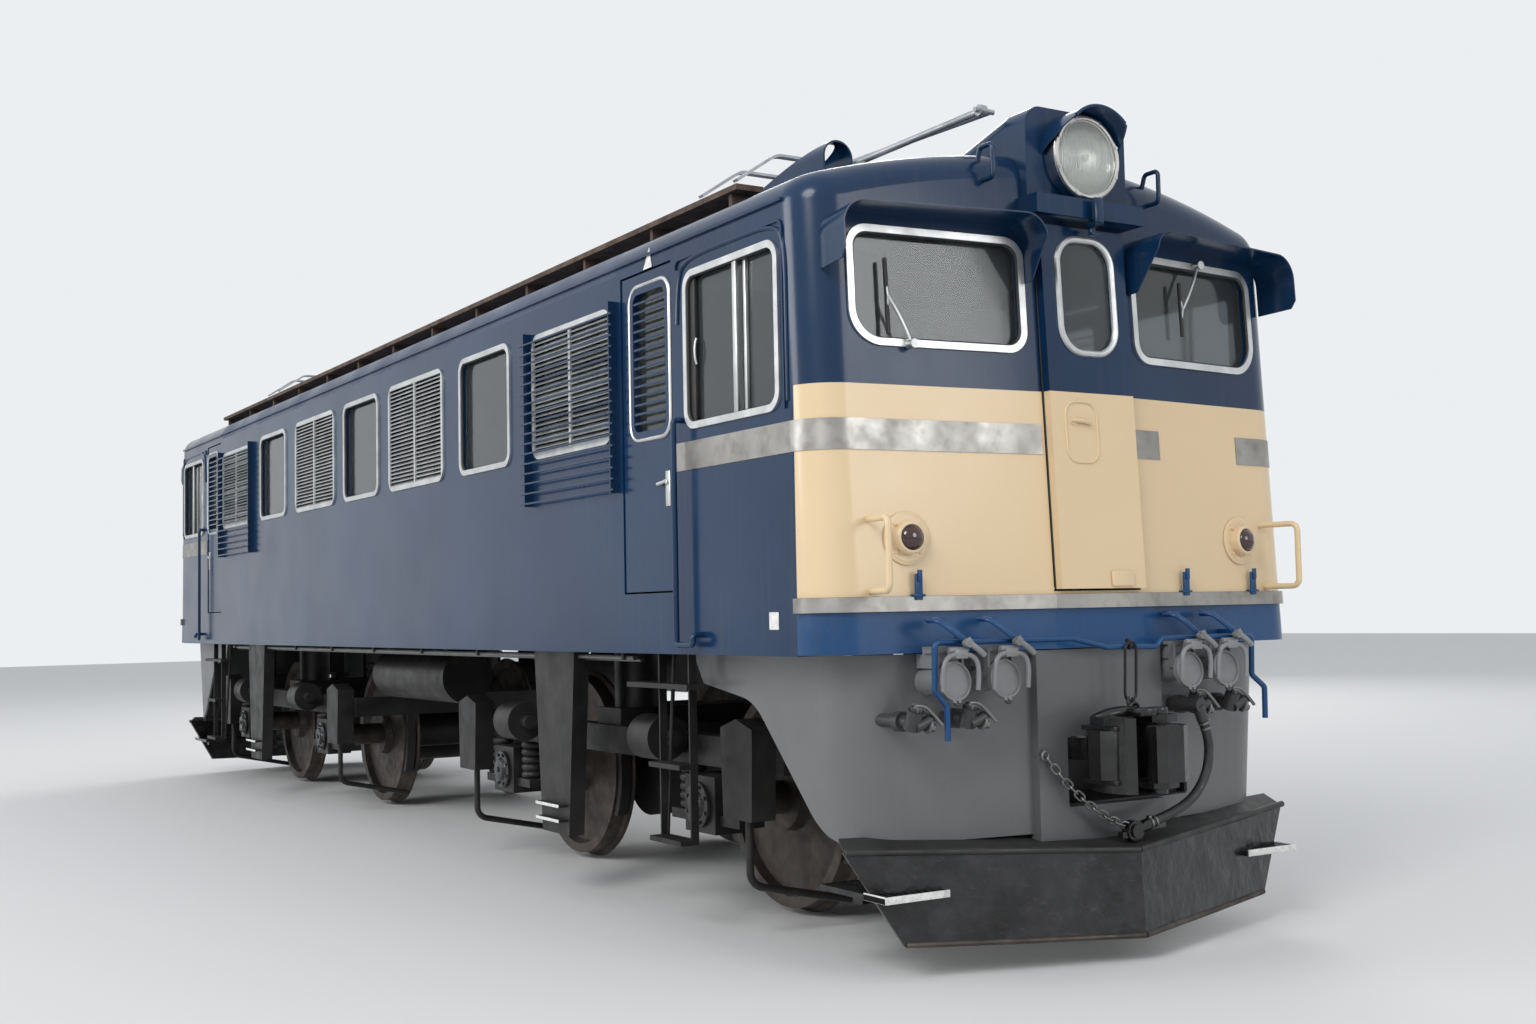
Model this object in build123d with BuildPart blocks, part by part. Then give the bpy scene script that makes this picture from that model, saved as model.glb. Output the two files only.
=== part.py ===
from build123d import *
import math
import os

os.makedirs("parts", exist_ok=True)

# Frame: X along the track, Y across it, Z up from the wheel flange tips, in millimetres.

# Track and wheels
TREAD_RADIUS = 560
FLANGE_HEIGHT = 28
AXLE_Z = TREAD_RADIUS + FLANGE_HEIGHT
WHEELBASE = 2500
BOGIE_X = 3175
GAUGE = 1067
BACK_TO_BACK = GAUGE - 77
TYRE_WIDTH = 125
AXLE_RADIUS = 85
JOURNAL_RADIUS = 60
JOURNAL_END = 1075
TURN_GAP = 8

# Body shell
BODY_HALF_WIDTH = 1400
WALL = 60
SILL_Z = 1339
CORNER_X = 5790
WALL_END_X = 5715
CORNER_RADIUS = 200
EAVES_Z = 3250
CROWN_Z = 3590
ROOF_RADIUS = 4600
ROOF_SHEET = 50
EDGE_RADIUS = 140
CAB_ROOF_X = 4150
FLOOR_Z = 1540
DECK_HALF_WIDTH = BODY_HALF_WIDTH - WALL

# Front face
NOSE_X = 6105
NOSE_Z = 1600
NOSE_Y = 262
LEAN = 0.05
SWEEP = 0.103
STRIP_TOP = 1582
STRIP_BOTTOM = 1520
STRIP_OUT = 18
BEAM_BOTTOM = 1344

# Side openings
BAND_LOW = 2403
BAND_HIGH = 3128
WINDOW_WIDTH = 806
LOUVRE_WIDTH = 1050
BARRED_WIDTH = 1010
CAB_WINDOW_WIDTH = 844
CAB_WINDOW_X = 5283
CREW_DOOR_X = 4460
CREW_DOOR_WIDTH = 520
CREW_DOOR_LOW = 1640
CREW_DOOR_HIGH = 3215
CREW_LIGHT_WIDTH = 400
FRAME_BAND = 32
REBATE = 10
PANE = 8
WINDOW_X = 2360
LOUVRE_X = 1150
BARRED_X = 3590
BARRED_HIGH = 3103
CAB_WINDOW_LOW = 2387
CAB_WINDOW_HIGH = 3136
OPENING_RADIUS = 70
# Side stations: name, centre along X, opening width, lower edge, upper edge
SIDE_WINDOWS = [
    ("rear window", -WINDOW_X, WINDOW_WIDTH, BAND_LOW, BAND_HIGH),
    ("middle window", 0, WINDOW_WIDTH, BAND_LOW, BAND_HIGH),
    ("front window", WINDOW_X, WINDOW_WIDTH, BAND_LOW, BAND_HIGH),
    ("rear cab window", -CAB_WINDOW_X, CAB_WINDOW_WIDTH, CAB_WINDOW_LOW, CAB_WINDOW_HIGH),
    ("front cab window", CAB_WINDOW_X, CAB_WINDOW_WIDTH, CAB_WINDOW_LOW, CAB_WINDOW_HIGH),
]
SIDE_LOUVRES = [
    ("rear louvre", -LOUVRE_X, LOUVRE_WIDTH, BAND_LOW, BAND_HIGH),
    ("front louvre", LOUVRE_X, LOUVRE_WIDTH, BAND_LOW, BAND_HIGH),
    ("rear barred louvre", -BARRED_X, BARRED_WIDTH, BAND_LOW, BARRED_HIGH),
    ("front barred louvre", BARRED_X, BARRED_WIDTH, BAND_LOW, BARRED_HIGH),
]

# Gangway door in the nose
NOSE_DOOR_WIDTH = 500
NOSE_DOOR_LOW = 1604
NOSE_DOOR_HIGH = 3240
NOSE_DOOR_PROUD = 45
NOSE_DOOR_THICK = 44
DOOR_GAP = 9
DOOR_LIGHT_Z = 2923
DOOR_LIGHT_WIDTH = 302
DOOR_LIGHT_HEIGHT = 500
DOOR_LIGHT_RADIUS = 110
POCKET_Y = -78
POCKET_Z = 2302
POCKET_WIDTH = 180
POCKET_HEIGHT = 268
POCKET_DEPTH = 24
POCKET_RADIUS = 60

# Door hinges
HINGE_EYE = 7
HINGE_PIN = 4
HINGE_FIT = 0.08
HINGE_TALL = 30
HINGE_STEP = 0.3
HINGE_BACK = 8
HINGE_EDGE = 6

# Side walls
CREW_DOOR_IN = 6
CREW_DOOR_THICK = 40
CREW_HINGES = (1900, 2900)
CREW_HINGE_X = CREW_DOOR_X - CREW_DOOR_WIDTH / 2 + HINGE_EDGE
CREW_HINGE_Y = BODY_HALF_WIDTH - CREW_DOOR_IN - CREW_DOOR_THICK - HINGE_BACK
SIDES = [("right", -1), ("left", 1)]

# Cab ends
HEADS = [("front", 0), ("rear", 180)]
NOSE_WINDOWS = [("right", -1), ("left", 1)]
NOSE_WINDOW_IN = 345
NOSE_WINDOW_OUT = 1190
NOSE_WINDOW_LOW = 2672
NOSE_WINDOW_HIGH = 3143
NOSE_WINDOW_MID = (NOSE_WINDOW_IN + NOSE_WINDOW_OUT) / 2
NOSE_WINDOW_WIDTH = NOSE_WINDOW_OUT - NOSE_WINDOW_IN
NOSE_WINDOW_HEIGHT = NOSE_WINDOW_HIGH - NOSE_WINDOW_LOW
NOSE_HINGES = (1800, 3050)
NOSE_HINGE_X = NOSE_X + NOSE_DOOR_PROUD - NOSE_DOOR_THICK - HINGE_BACK
NOSE_HINGE_Y = NOSE_DOOR_WIDTH / 2 - HINGE_EDGE

# Roof
GUTTER_Z = 3292
GUTTER = 14
GUTTER_END_X = 5740

# Buffer beams under the noses
BEAM_WALL = 40

# Bright trim
BELT_LOW = 2200
BELT_HIGH = 2333
BELT_THICK = 4
BELT_SIDE_X = 4764
BELT_NOSE_GAP = (455, 1027)
BELT_NOSE_IN = 275

# Skirts
SKIRT_TOP = SILL_Z
SKIRT_LOW = 545
SKIRT_SHEET = 16
SKIRT_CORNER = 270
SKIRT_CENTRE_HALF = 370
SKIRT_CENTRE_PROUD = 45
SKIRT_CENTRE_X = 6100
SKIRT_CENTRE_LOW = 490
SKIRT_TOP_TIP = (5975, 1240)
SKIRT_LOW_TIP = (5915, 1215)
SKIRT_PANEL_X = SKIRT_CENTRE_X - SKIRT_CENTRE_PROUD
SKIRT_BACK = 4580
SLOT_LOW = 650
SLOT_HIGH = 960
SLOT_RIGHT = -205
SLOT_LEFT = 590
SKIRT_CURVE = [(4600, 1400), (4600, 1344), (4690, 1195), (5150, 1125), (5640, 600), (5900, 500)]

# Snow ploughs
PLOUGH_SHEET = 24
PLOUGH_RIDGE_TOP = Vector(6315, 0, 470)
PLOUGH_RIDGE_LOW = Vector(6335, 0, 102)
PLOUGH_TIP_TOP = (5950, 1300, 535)
PLOUGH_TIP_LOW = (6030, 1060, 140)
RIDGE_BAR_X = 6290
RIDGE_BAR_RADIUS = 28
RIDGE_BAR_LOW = 121
RIDGE_BAR_HIGH = 451
PLOUGH_POST_Y = 520
PLOUGH_POST_X = 5780
PLOUGH_POST = 90
PLOUGH_ARM_Z = 300
STEP_LENGTH = 480
STEP_WIDTH = 330
STEP_X = 5870
STEP_Y = 1045
STEP_Z = 350
STEP_BAR = 10
STEP_DEEP = 24
STEP_BARS = 9

# Underframe
SILL_WIDTH = 100
DECK_SHEET = 40
LONG_BEAM_Y = 300
LONG_BEAM = 80
# Cross beams of the underframe: centre along X, length along X
CROSS_BEAMS = [(-5730, 120), (-BOGIE_X, 560), (-1100, 120), (0, 120), (1100, 120), (BOGIE_X, 560),
               (5730, 120)]
PIN_RADIUS = 80
PIN_LOW = 930
POST_TOP_HALF = 268
POST_LOW_HALF = 175
POST_LOW = 340
POST_DEPTH = 90
POST_OUT = 1335
POST_TREADS = (420, 500)
TREAD_REACH = 50
TREAD_SHEET = 14
COUPLER_PIVOT_X = 5690
COUPLER_Z = 890
DRAFT_HALF = 190
DRAFT_LENGTH = 220
DRAFT_LOW = COUPLER_Z + 110
COUPLER_PIN = 35
COUPLER_PIN_TALL = 240

# Couplers
SHANK_HALF = 60
SHANK_HEIGHT = 100
SHANK_END_X = 6200
COUPLER_FIT = 0.4
HEAD_HALF_HEIGHT = 160
KNUCKLE_X = 6330
KNUCKLE_Y = 115
KNUCKLE_PIN = 22
HEAD_PLAN = [(6170, -60), (6215, -175), (6330, -205), (6440, -185), (6470, -150), (6400, -120),
             (6300, -110), (6262, -60), (6262, 190), (6215, 190), (6170, 60)]
EAR_THICK = 34
EAR_PLAN = [(6240, 50), (6240, 190), (6370, 190), (6385, 115), (6350, 60)]
KNUCKLE_STEP = 40
KNUCKLE_TAIL = 60
KNUCKLE_PLAN = [(6330, 55), (6330, 175), (6385, 172), (6470, 150), (6500, 95), (6500, 0),
                (6480, -45), (6440, -40), (6430, 20), (6395, 55)]

# Crew doors in the sides
CREW_BARS = 14
CREW_BAR = 11
CREW_LIGHT_SHIFT = 40
CREW_LIGHT_Z = 2770
CREW_LIGHT_HEIGHT = 750
CREW_LIGHT_RIM = 32
CREW_LIGHT_OUT = 10
CREW_DOORS = [("front_right", 1, -1), ("front_left", 1, 1), ("rear_right", -1, -1),
              ("rear_left", -1, 1)]

# Headlight housings with their hooded lamps
LAMP_Z = 3556
LAMP_RADIUS = 195
LAMP_X = 6118
DISH_DEPTH = 55
DISH_RADIUS = 287
HOUSING_HALF = 300
HOUSING_FRONT = 6050
HOUSING_TOP = 3780
HOUSING_PROFILE = [(5150, 3540), (5170, 3592), (5900, HOUSING_TOP), (HOUSING_FRONT, HOUSING_TOP),
                   (HOUSING_FRONT, 3330), (5980, 3330), (5800, 3500), (5500, 3540)]

# Lamps
HOOD_RADIUS = 214
HOOD_OUT = 170
MARKER_Y = 992
MARKER_Z = 1826
MARKER_RIM = 98
MARKER_RIM_OUT = 12
MARKER_BODY = 72
MARKER_BODY_OUT = 34

# Window hoods
HOOD_SHEET = 7
HOOD_DEPTH = 200
HOOD_IN = 308
HOOD_OUTER = 1325
HOOD_TIP = 2965
HOOD_CREST = 3235
DRIP_TOP = 3212
DRIP_LOW = 2390
DRIP_BACK_X = 4778
DRIP_FRONT_X = 5744
DRIP_WIDE = 13
DRIP_OUT = 10

# Window frames and panes
FRAME_OUT = 12
PANE_IN = 30
PANE_FIT = 0.3

# Louvres in the sides
SLATS = 25
SLAT_THICK = 6
SLAT_DEPTH = 34
SLAT_TILT = 35
SLAT_IN = 6
MULLION = 26
LOUVRE_PLACES = [("plain", (-LOUVRE_X, LOUVRE_X)), ("barred", (-BARRED_X, BARRED_X))]

# Guard bars standing off the side in front of the outer louvres
GUARD_LOW = 2160
GUARD_HIGH = 3107
GUARD_POST_X = 545
GUARD_POST = 10
GUARD_PITCH = 56
GUARD_RADIUS = 6
GUARD_OUT = 45
GUARD_WIDTH = 1170

# Cab fittings behind the glass
CAB_BULKHEAD_X = 4110
BULKHEAD = 40
# Cab furniture: name, centre along X, centre along Y, length, width, lower face, upper face
CAB_FURNITURE = [
    ("desk", 5700, 830, 360, 800, FLOOR_Z, 2480),
    ("side desk", 5720, -1000, 300, 500, FLOOR_Z, 2300),
    ("right seat post", 5050, -850, 110, 110, FLOOR_Z, 1980),
    ("right seat", 5050, -850, 440, 420, 1980, 2080),
    ("right back", 4860, -850, 80, 420, 2070, 2590),
    ("left seat post", 5050, 850, 110, 110, FLOOR_Z, 1980),
    ("left seat", 5050, 850, 440, 420, 1980, 2080),
    ("left back", 4860, 850, 80, 420, 2070, 2590),
]

# Machine room
MACHINE_LENGTH = 7000
MACHINE_HALF = 560
MACHINE_HEIGHT = 1350

# Roof hatches, running boards and horn covers
HATCHES = [(-2050, 1500), (0, 2000), (2050, 1500)]
HATCH_TOP = 3700
HATCH_PLAN = [(-900, 3400), (-900, 3560), (-760, HATCH_TOP - 20), (0, HATCH_TOP),
              (760, HATCH_TOP - 20), (900, 3560), (900, 3400)]
BOARD_Y = 1110
BOARD_X = 5000
BOARD_WIDTH = 150
BOARD_THICK = 28
BOARD_Z = 3545
BRACKETS = 13
BRACKET_END = 100
ROOF_END_X = 5750
HORN_Y = -735
HORN_HALF = 85
HORN_FRONT = 5200
HORN_BACK = 4570
HORN_Z = 3690
HORN_BACK_Z = 3640

# Bogies
BOGIES = [("front", BOGIE_X), ("rear", -BOGIE_X)]
AXLE_X = WHEELBASE / 2
SIDE_Y = 1000
SIDE_WIDE = 100
BEAM_OUT = SIDE_Y + SIDE_WIDE / 2
BEAM_IN_Y = SIDE_Y - SIDE_WIDE / 2
CYLINDER_Y = BEAM_OUT + 120
BEAM_LOW = 770
BEAM_HIGH = 920
BOGIE_HALF = 1925
BOX_WIDE = 300
BOX_LOW = 450
BOX_HIGH = 730
BOX_IN = 930
BOX_OUT = 1120
WING = 230
SPRING_RADIUS = 70
SPRING_SEAT = BOX_LOW + 95
JOURNAL_FIT = 0.4
TRANSOM = 90
BOLSTER_HALF = 150
BOLSTER_HIGH = 1010
BEARER_Y = 820
BEARER_RADIUS = 130
BODY_GAP = 6
PIN_GAP = 0.5
TRANSOM_X = 250
MOTOR_X = 690
MOTOR_RADIUS = 300
MOTOR_HALF = 400
MOTOR_Z = 600
TUBE_RADIUS = AXLE_RADIUS + 45
TUBE_HALF = 350
CYLINDER_X = 900
CYLINDER_RADIUS = 115
CYLINDER_LENGTH = 230
CYLINDER_Z = 905
SAND_X = 1715
SAND_DEPTH = 130
SAND_PIPE = 19
SAND_PLAN = [(-130, 560), (130, 560), (145, 900), (145, 985), (0, 1030), (-145, 985),
             (-145, 900)]
SHOE_Y = 578
SHOE_HALF = 32
SHOE_THICK = 45
HANGER_Z = 795
HANGER_LOW = 660
HANGER = 30
END_BEAM = 50
SHOE_GAP = 8
SPRING_TALL = BEAM_LOW - SPRING_SEAT
SPRING_COILS = 5
SPRING_CORE = 54

# Wheelsets
AXLES = [("wheelset_1", BOGIE_X + AXLE_X), ("wheelset_2", BOGIE_X - AXLE_X),
         ("wheelset_3", -BOGIE_X + AXLE_X), ("wheelset_4", -BOGIE_X - AXLE_X)]
WHEEL_IN = BACK_TO_BACK / 2
WHEEL_OUT = WHEEL_IN + TYRE_WIDTH

# Pantographs
PANTOGRAPHS = [("front", 4300), ("rear", -4300)]
PAN_PIVOT = 180
ARM_RUN = 1330
ARM_RISE = 62
SHAFT_Z = 3745
KNEE_Z = SHAFT_Z + ARM_RISE
HEAD_Z = SHAFT_Z + 2 * ARM_RISE
KNEE_Y = 350
SHAFT_Y = 490
UPPER_Y = 300
HEAD_TUBE_Y = 270
TUBE = 17
BASE_X = 800
RAIL_Y = 560
HEAD_BAR_Y = 325
HEAD_PIN = 12
KNEE_PIN = 12
KNEE_EYE = 26
PAN_FIT = 0.4
SHAFT_HALF = 595
RAIL_SECTION = 60
RAIL_DEEP = 40
INSULATOR_Z = 3490
SLIDER_WIDE = 46
SLIDER_THICK = 14
HORN_DROP = 139
SLIDER_RISE = 22
BASE_Z = 3690
INSULATORS = [(x, y) for x in (-BASE_X, BASE_X) for y in (-RAIL_Y, RAIL_Y)]

# Fittings on the buffer beams
SOCKETS = [-890, -622, 458, 690]
SOCKET_Z = 1228
SOCKET_RADIUS = 82
SOCKET_X = 6186
LID_THICK = 26
LID_RIM = 9
LID_TILT = 83
ARM_OUT = 64
ARM_THICK = 12
BLOCK_X = 6080
BLOCK_Z = 1325
COCKS = [-1088, -806, 508, 742]
COCK_Z = 1068
COCK_RADIUS = 34

# Brake hose
HOSE_X = 6215
HOSE_RADIUS = 22
HOSE_RUN = [(508, 1000), (538, 926), (542, 842), (519, 759), (468, 687), (395, 634), (312, 603),
            (228, 579), (146, 560)]
NIPPLE = 70
NIPPLE_RADIUS = 27
GLAND_RADIUS = 27
GLAND_LENGTH = 60
HEAD_DISC = 46

# Bent tubes outside
RAIL_RADIUS = 14
RAIL_OUT = 55
GRAB_Y = 500
LEVER_RADIUS = 13
LEVER_X = 6192
LEVER_ROOT_X = 6000
LEVER_BRACKETS = (-770, 800)
LEVER_RUN = [(-933, 984), (-933, 1126), (-994, 1192), (-988, 1391), (-240, 1387), (-50, 1346),
             (255, 1340), (290, 1376), (870, 1374), (862, 1192), (945, 1132), (942, 986)]

# Hanging steps below the crew doors
STEP_RUNGS = [450, 805, 1185]
LADDER_X = 4580
LADDER_HALF = 150
POST_BAR = 12
POST_BAR_DEEP = 40
POST_BAR_Y = 1320
TOP_STEP = 620
STAY_RADIUS = 10
STAY_FOOT_Y = 1305
STAY_TOP_Y = 1252
RUNG_REACH = 100
RUNG_SHEET = 24
RUNG_Y = 1350

# Underfloor gear
TANK_Y = 900
TANK_Z = 1120
TANK_RADIUS = 180
TANK_LENGTH = 1500
TANK_STRAP_X = 600


# Shapes of the whole body: plan of the ends, leaning noses and the arched roof
def end_outline(inset, back):
    """Plan of one end, drawn at the nose height, from X=back to the nose."""
    reach = BODY_HALF_WIDTH - inset
    nose = NOSE_X - inset
    flat = NOSE_Y - inset * SWEEP
    corner = nose - SWEEP * (reach - flat)
    with BuildSketch(Plane.XY.offset(NOSE_Z)) as outline:
        with BuildLine():
            Polyline(
                (back, -reach),
                (corner, -reach),
                (nose, -flat),
                (nose, flat),
                (corner, reach),
                (back, reach),
                close=True,
            )
        make_face()
        tips = outline.vertices().filter_by_position(Axis.X, corner - 1, corner + 1)
        fillet(tips, radius=CORNER_RADIUS - inset)
    return outline.sketch


def leaning(outline, low, high):
    """The end outline run up from low to high along the lean of the nose."""
    run = high - low
    length = run * math.hypot(1, LEAN)
    start = outline.moved(Location((-LEAN * (low - NOSE_Z), 0, low - NOSE_Z)))
    return extrude(start, amount=length, dir=(-LEAN, 0, 1))


def nose_plane(side, along, height):
    """Plane on the nose panel of one side: x runs out to +Y, y runs up."""
    x = NOSE_X - SWEEP * (abs(along) - NOSE_Y) - LEAN * (height - NOSE_Z)
    normal = Vector(1, side * SWEEP, LEAN)
    return Plane(origin=(x, along, height), x_dir=(-side * SWEEP, 1, 0), z_dir=normal)


def roof_outline(inset, edge):
    """Cross-section of the roof from the eaves up, on the plane X=0."""
    reach = BODY_HALF_WIDTH - inset
    centre = CROWN_Z - ROOF_RADIUS
    radius = ROOF_RADIUS - inset
    shoulder = centre + math.sqrt(radius**2 - reach**2)
    with BuildSketch(Plane.YZ) as outline:
        with BuildLine():
            Line((-reach, EAVES_Z), (reach, EAVES_Z))
            Line((reach, EAVES_Z), (reach, shoulder))
            ThreePointArc((reach, shoulder), (0, centre + radius), (-reach, shoulder))
            Line((-reach, shoulder), (-reach, EAVES_Z))
        make_face()
        if edge > 0:
            fillet(outline.vertices().group_by(Axis.Y)[-1], radius=edge)
    return outline.sketch


# Door hinges: lugs on the jambs with a bore, and knuckles with a pin on the leaves
def hinge_lug(place, reach):
    """Bored lug at a hinge place, reaching to the jamb along its own X."""
    with BuildPart() as lug:
        Cylinder(HINGE_EYE, HINGE_TALL)
        with Locations((reach / 2, 0, 0)):
            Box(abs(reach), 2 * HINGE_EYE, HINGE_TALL)
        Cylinder(HINGE_PIN + HINGE_FIT, HINGE_TALL, mode=Mode.SUBTRACT)
    return lug.part.moved(place)


def hinge_knuckle(place, out):
    """Knuckle and pin above a lug, reaching to the leaf along its own Y."""
    rise = HINGE_TALL + HINGE_STEP
    with BuildPart() as knuckle:
        with Locations((0, 0, rise)):
            Cylinder(HINGE_EYE, HINGE_TALL)
        with Locations((0, out / 2, rise)):
            Box(2 * HINGE_EDGE, abs(out), HINGE_TALL)
        with Locations((0, 0, rise / 2)):
            Cylinder(HINGE_PIN, rise + HINGE_TALL - 2)
    return knuckle.part.moved(place)


def bent_tube(points, bend, radius):
    """Round tube along a run of points with rounded corners."""
    with BuildPart() as rod:
        with BuildLine():
            run = FilletPolyline(*points, radius=bend)
        with BuildSketch(Plane(origin=run @ 0, z_dir=run % 0)):
            Circle(radius)
        sweep(path=run)
    return rod.part


def tube(start, end, radius):
    """Straight round tube between two points."""
    run = Vector(*end) - Vector(*start)
    with BuildPart() as rod:
        with BuildSketch(Plane(origin=start, z_dir=run)):
            Circle(radius)
        extrude(amount=run.length)
    return rod.part


# Side walls: one panel each side, cut for windows, louvres and doors
side_walls = {}
for side_name, side in SIDES:
    outer = Plane(origin=(0, side * BODY_HALF_WIDTH, 0), x_dir=(1, 0, 0), z_dir=(0, -1, 0))
    with BuildPart() as wall:
        with BuildSketch(outer):
            with Locations((0, (SILL_Z + EAVES_Z) / 2)):
                Rectangle(2 * WALL_END_X, EAVES_Z - SILL_Z)
            with Locations((0, (SILL_Z + STRIP_TOP) / 2)):
                Rectangle(2 * CORNER_X, STRIP_TOP - SILL_Z)
            for label, x, width, low, high in SIDE_WINDOWS:
                with Locations((x, (low + high) / 2)):
                    RectangleRounded(width - 2 * (FRAME_BAND - REBATE),
                                     high - low - 2 * (FRAME_BAND - REBATE),
                                     OPENING_RADIUS, mode=Mode.SUBTRACT)
            for label, x, width, low, high in SIDE_LOUVRES:
                with Locations((x, (low + high) / 2)):
                    Rectangle(width - 2 * (FRAME_BAND - REBATE),
                              high - low - 2 * (FRAME_BAND - REBATE), mode=Mode.SUBTRACT)
            for x in (-CREW_DOOR_X, CREW_DOOR_X):
                with Locations((x, (CREW_DOOR_LOW + CREW_DOOR_HIGH) / 2)):
                    Rectangle(CREW_DOOR_WIDTH + 2 * DOOR_GAP,
                              CREW_DOOR_HIGH - CREW_DOOR_LOW + 2 * DOOR_GAP,
                              mode=Mode.SUBTRACT)
        extrude(amount=side * WALL)
        for end in (-1, 1):
            for level in CREW_HINGES:
                place = Location((end * CREW_HINGE_X, side * CREW_HINGE_Y, level))
                add(hinge_lug(place, -end * (HINGE_EDGE + DOOR_GAP)))
    wall.part.label = "side_wall_" + side_name
    side_walls[side_name] = wall.part
    export_step(wall.part, "parts/side_wall_" + side_name + ".step")


# Cab ends: a hollow bent wall each, with window and gangway openings
def nose_hinge(level):
    """Place of a gangway door hinge at one height, on the leaning hinge line."""
    spot = (NOSE_HINGE_X - LEAN * (level - NOSE_DOOR_LOW), NOSE_HINGE_Y, level)
    return Location(spot, (0, -math.degrees(math.atan(LEAN)), 0)) * Location((0, 0, 0), (0, 0, 90))


def nose_window(side, grow):
    """Rounded window outline on the nose panel of one side, grown all round."""
    middle = (NOSE_WINDOW_LOW + NOSE_WINDOW_HIGH) / 2
    panel = nose_plane(side, side * NOSE_WINDOW_MID, middle)
    width = NOSE_WINDOW_WIDTH + 2 * grow
    height = NOSE_WINDOW_HEIGHT + 2 * grow
    low_outer = (side * width / 2, -height / 2, 0)
    with BuildSketch(panel) as outline:
        Rectangle(width, height)
        fillet(outline.vertices().sort_by_distance(low_outer)[1:], radius=75 + grow)
        fillet(outline.vertices().sort_by_distance(low_outer)[0], radius=130 + grow)
    return outline.sketch


with BuildPart() as cab_end:
    add(leaning(end_outline(0, WALL_END_X - 10), STRIP_TOP, EAVES_Z))
    add(leaning(end_outline(WALL, WALL_END_X - 50), STRIP_TOP - 5, EAVES_Z + 5), mode=Mode.SUBTRACT)
    with Locations((WALL_END_X - 100, 0, (STRIP_TOP + EAVES_Z) / 2)):
        Box(200, 2 * BODY_HALF_WIDTH, EAVES_Z, mode=Mode.SUBTRACT)
    for label, side in NOSE_WINDOWS:
        hole = extrude(nose_window(side, 0), amount=150, both=True, mode=Mode.PRIVATE)
        add(hole, mode=Mode.SUBTRACT)
    with BuildSketch(Plane.YZ.offset(NOSE_X - 300)):
        with Locations((0, (NOSE_DOOR_LOW + NOSE_DOOR_HIGH) / 2)):
            Rectangle(NOSE_DOOR_WIDTH + 2 * DOOR_GAP,
                      NOSE_DOOR_HIGH - NOSE_DOOR_LOW + 2 * DOOR_GAP)
    extrude(amount=500, mode=Mode.SUBTRACT)
    for level in NOSE_HINGES:
        add(hinge_lug(nose_hinge(level), HINGE_EDGE + DOOR_GAP))
for head, turn in HEADS:
    with BuildPart() as turned_end:
        add(cab_end.part.rotate(Axis.Z, turn))
    turned_end.part.label = "cab_end_" + head
    export_step(turned_end.part, "parts/cab_end_" + head + ".step")


# Roof: two domed cab roofs and the machine room roof between them
def dome(inset, edge):
    """Solid cab roof shape, from the cab roof joint to the nose."""
    with BuildPart() as shape:
        add(leaning(end_outline(inset, CAB_ROOF_X - 500), EAVES_Z, CROWN_Z + 50))
        add(roof_outline(inset, 0).moved(Location((CAB_ROOF_X - inset, 0, 0))))
        extrude(amount=NOSE_X - CAB_ROOF_X + inset, dir=(1, 0, 0), mode=Mode.INTERSECT)
        top = shape.faces().sort_by(Axis.Z)[-1]
        rim = top.edges().filter_by(lambda e: e.center().X > CAB_ROOF_X + 1)
        fillet(rim, radius=edge)
    return shape.part


dome_shape = dome(0, EDGE_RADIUS)
with BuildPart() as cab_roof:
    add(dome_shape)
    for side in (-1, 1):
        with Locations(((CAB_ROOF_X + GUTTER_END_X) / 2, side * BODY_HALF_WIDTH, GUTTER_Z)):
            Box(GUTTER_END_X - CAB_ROOF_X, 2 * GUTTER, GUTTER)
    add(dome(ROOF_SHEET, EDGE_RADIUS - ROOF_SHEET), mode=Mode.SUBTRACT)
with BuildPart() as cab_roofs:
    for head, turn in HEADS:
        add(cab_roof.part.rotate(Axis.Z, turn))
cab_roofs.part.label = "cab_roofs"
export_step(cab_roofs.part, "parts/cab_roofs.step")
with BuildPart() as machine_roof:
    add(roof_outline(0, EDGE_RADIUS).moved(Location((-CAB_ROOF_X, 0, 0))))
    extrude(amount=2 * CAB_ROOF_X, dir=(1, 0, 0))
    for side in (-1, 1):
        with Locations((0, side * BODY_HALF_WIDTH, GUTTER_Z)):
            Box(2 * CAB_ROOF_X, 2 * GUTTER, GUTTER)
    past = CAB_ROOF_X + ROOF_SHEET
    add(roof_outline(ROOF_SHEET, EDGE_RADIUS - ROOF_SHEET).moved(Location((-past, 0, 0))))
    extrude(amount=2 * past, dir=(1, 0, 0), mode=Mode.SUBTRACT)
machine_roof.part.label = "machine_roof"
export_step(machine_roof.part, "parts/machine_roof.step")

# Buffer beams under the noses
with BuildPart() as beam:
    add(leaning(end_outline(0, CORNER_X - 20), BEAM_BOTTOM, STRIP_BOTTOM))
    add(leaning(end_outline(BEAM_WALL, CORNER_X - 50), BEAM_BOTTOM - 5, STRIP_BOTTOM + 5),
        mode=Mode.SUBTRACT)
    with BuildSketch(Plane.XZ):
        with Locations((CORNER_X - 100, (BEAM_BOTTOM + STRIP_BOTTOM) / 2)):
            Rectangle(200, 400)
    extrude(amount=2 * BODY_HALF_WIDTH, both=True, mode=Mode.SUBTRACT)
with BuildPart() as buffer_beams:
    for head, turn in HEADS:
        add(beam.part.rotate(Axis.Z, turn))
buffer_beams.part.label = "buffer_beams"
export_step(buffer_beams.part, "parts/buffer_beams.step")

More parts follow.
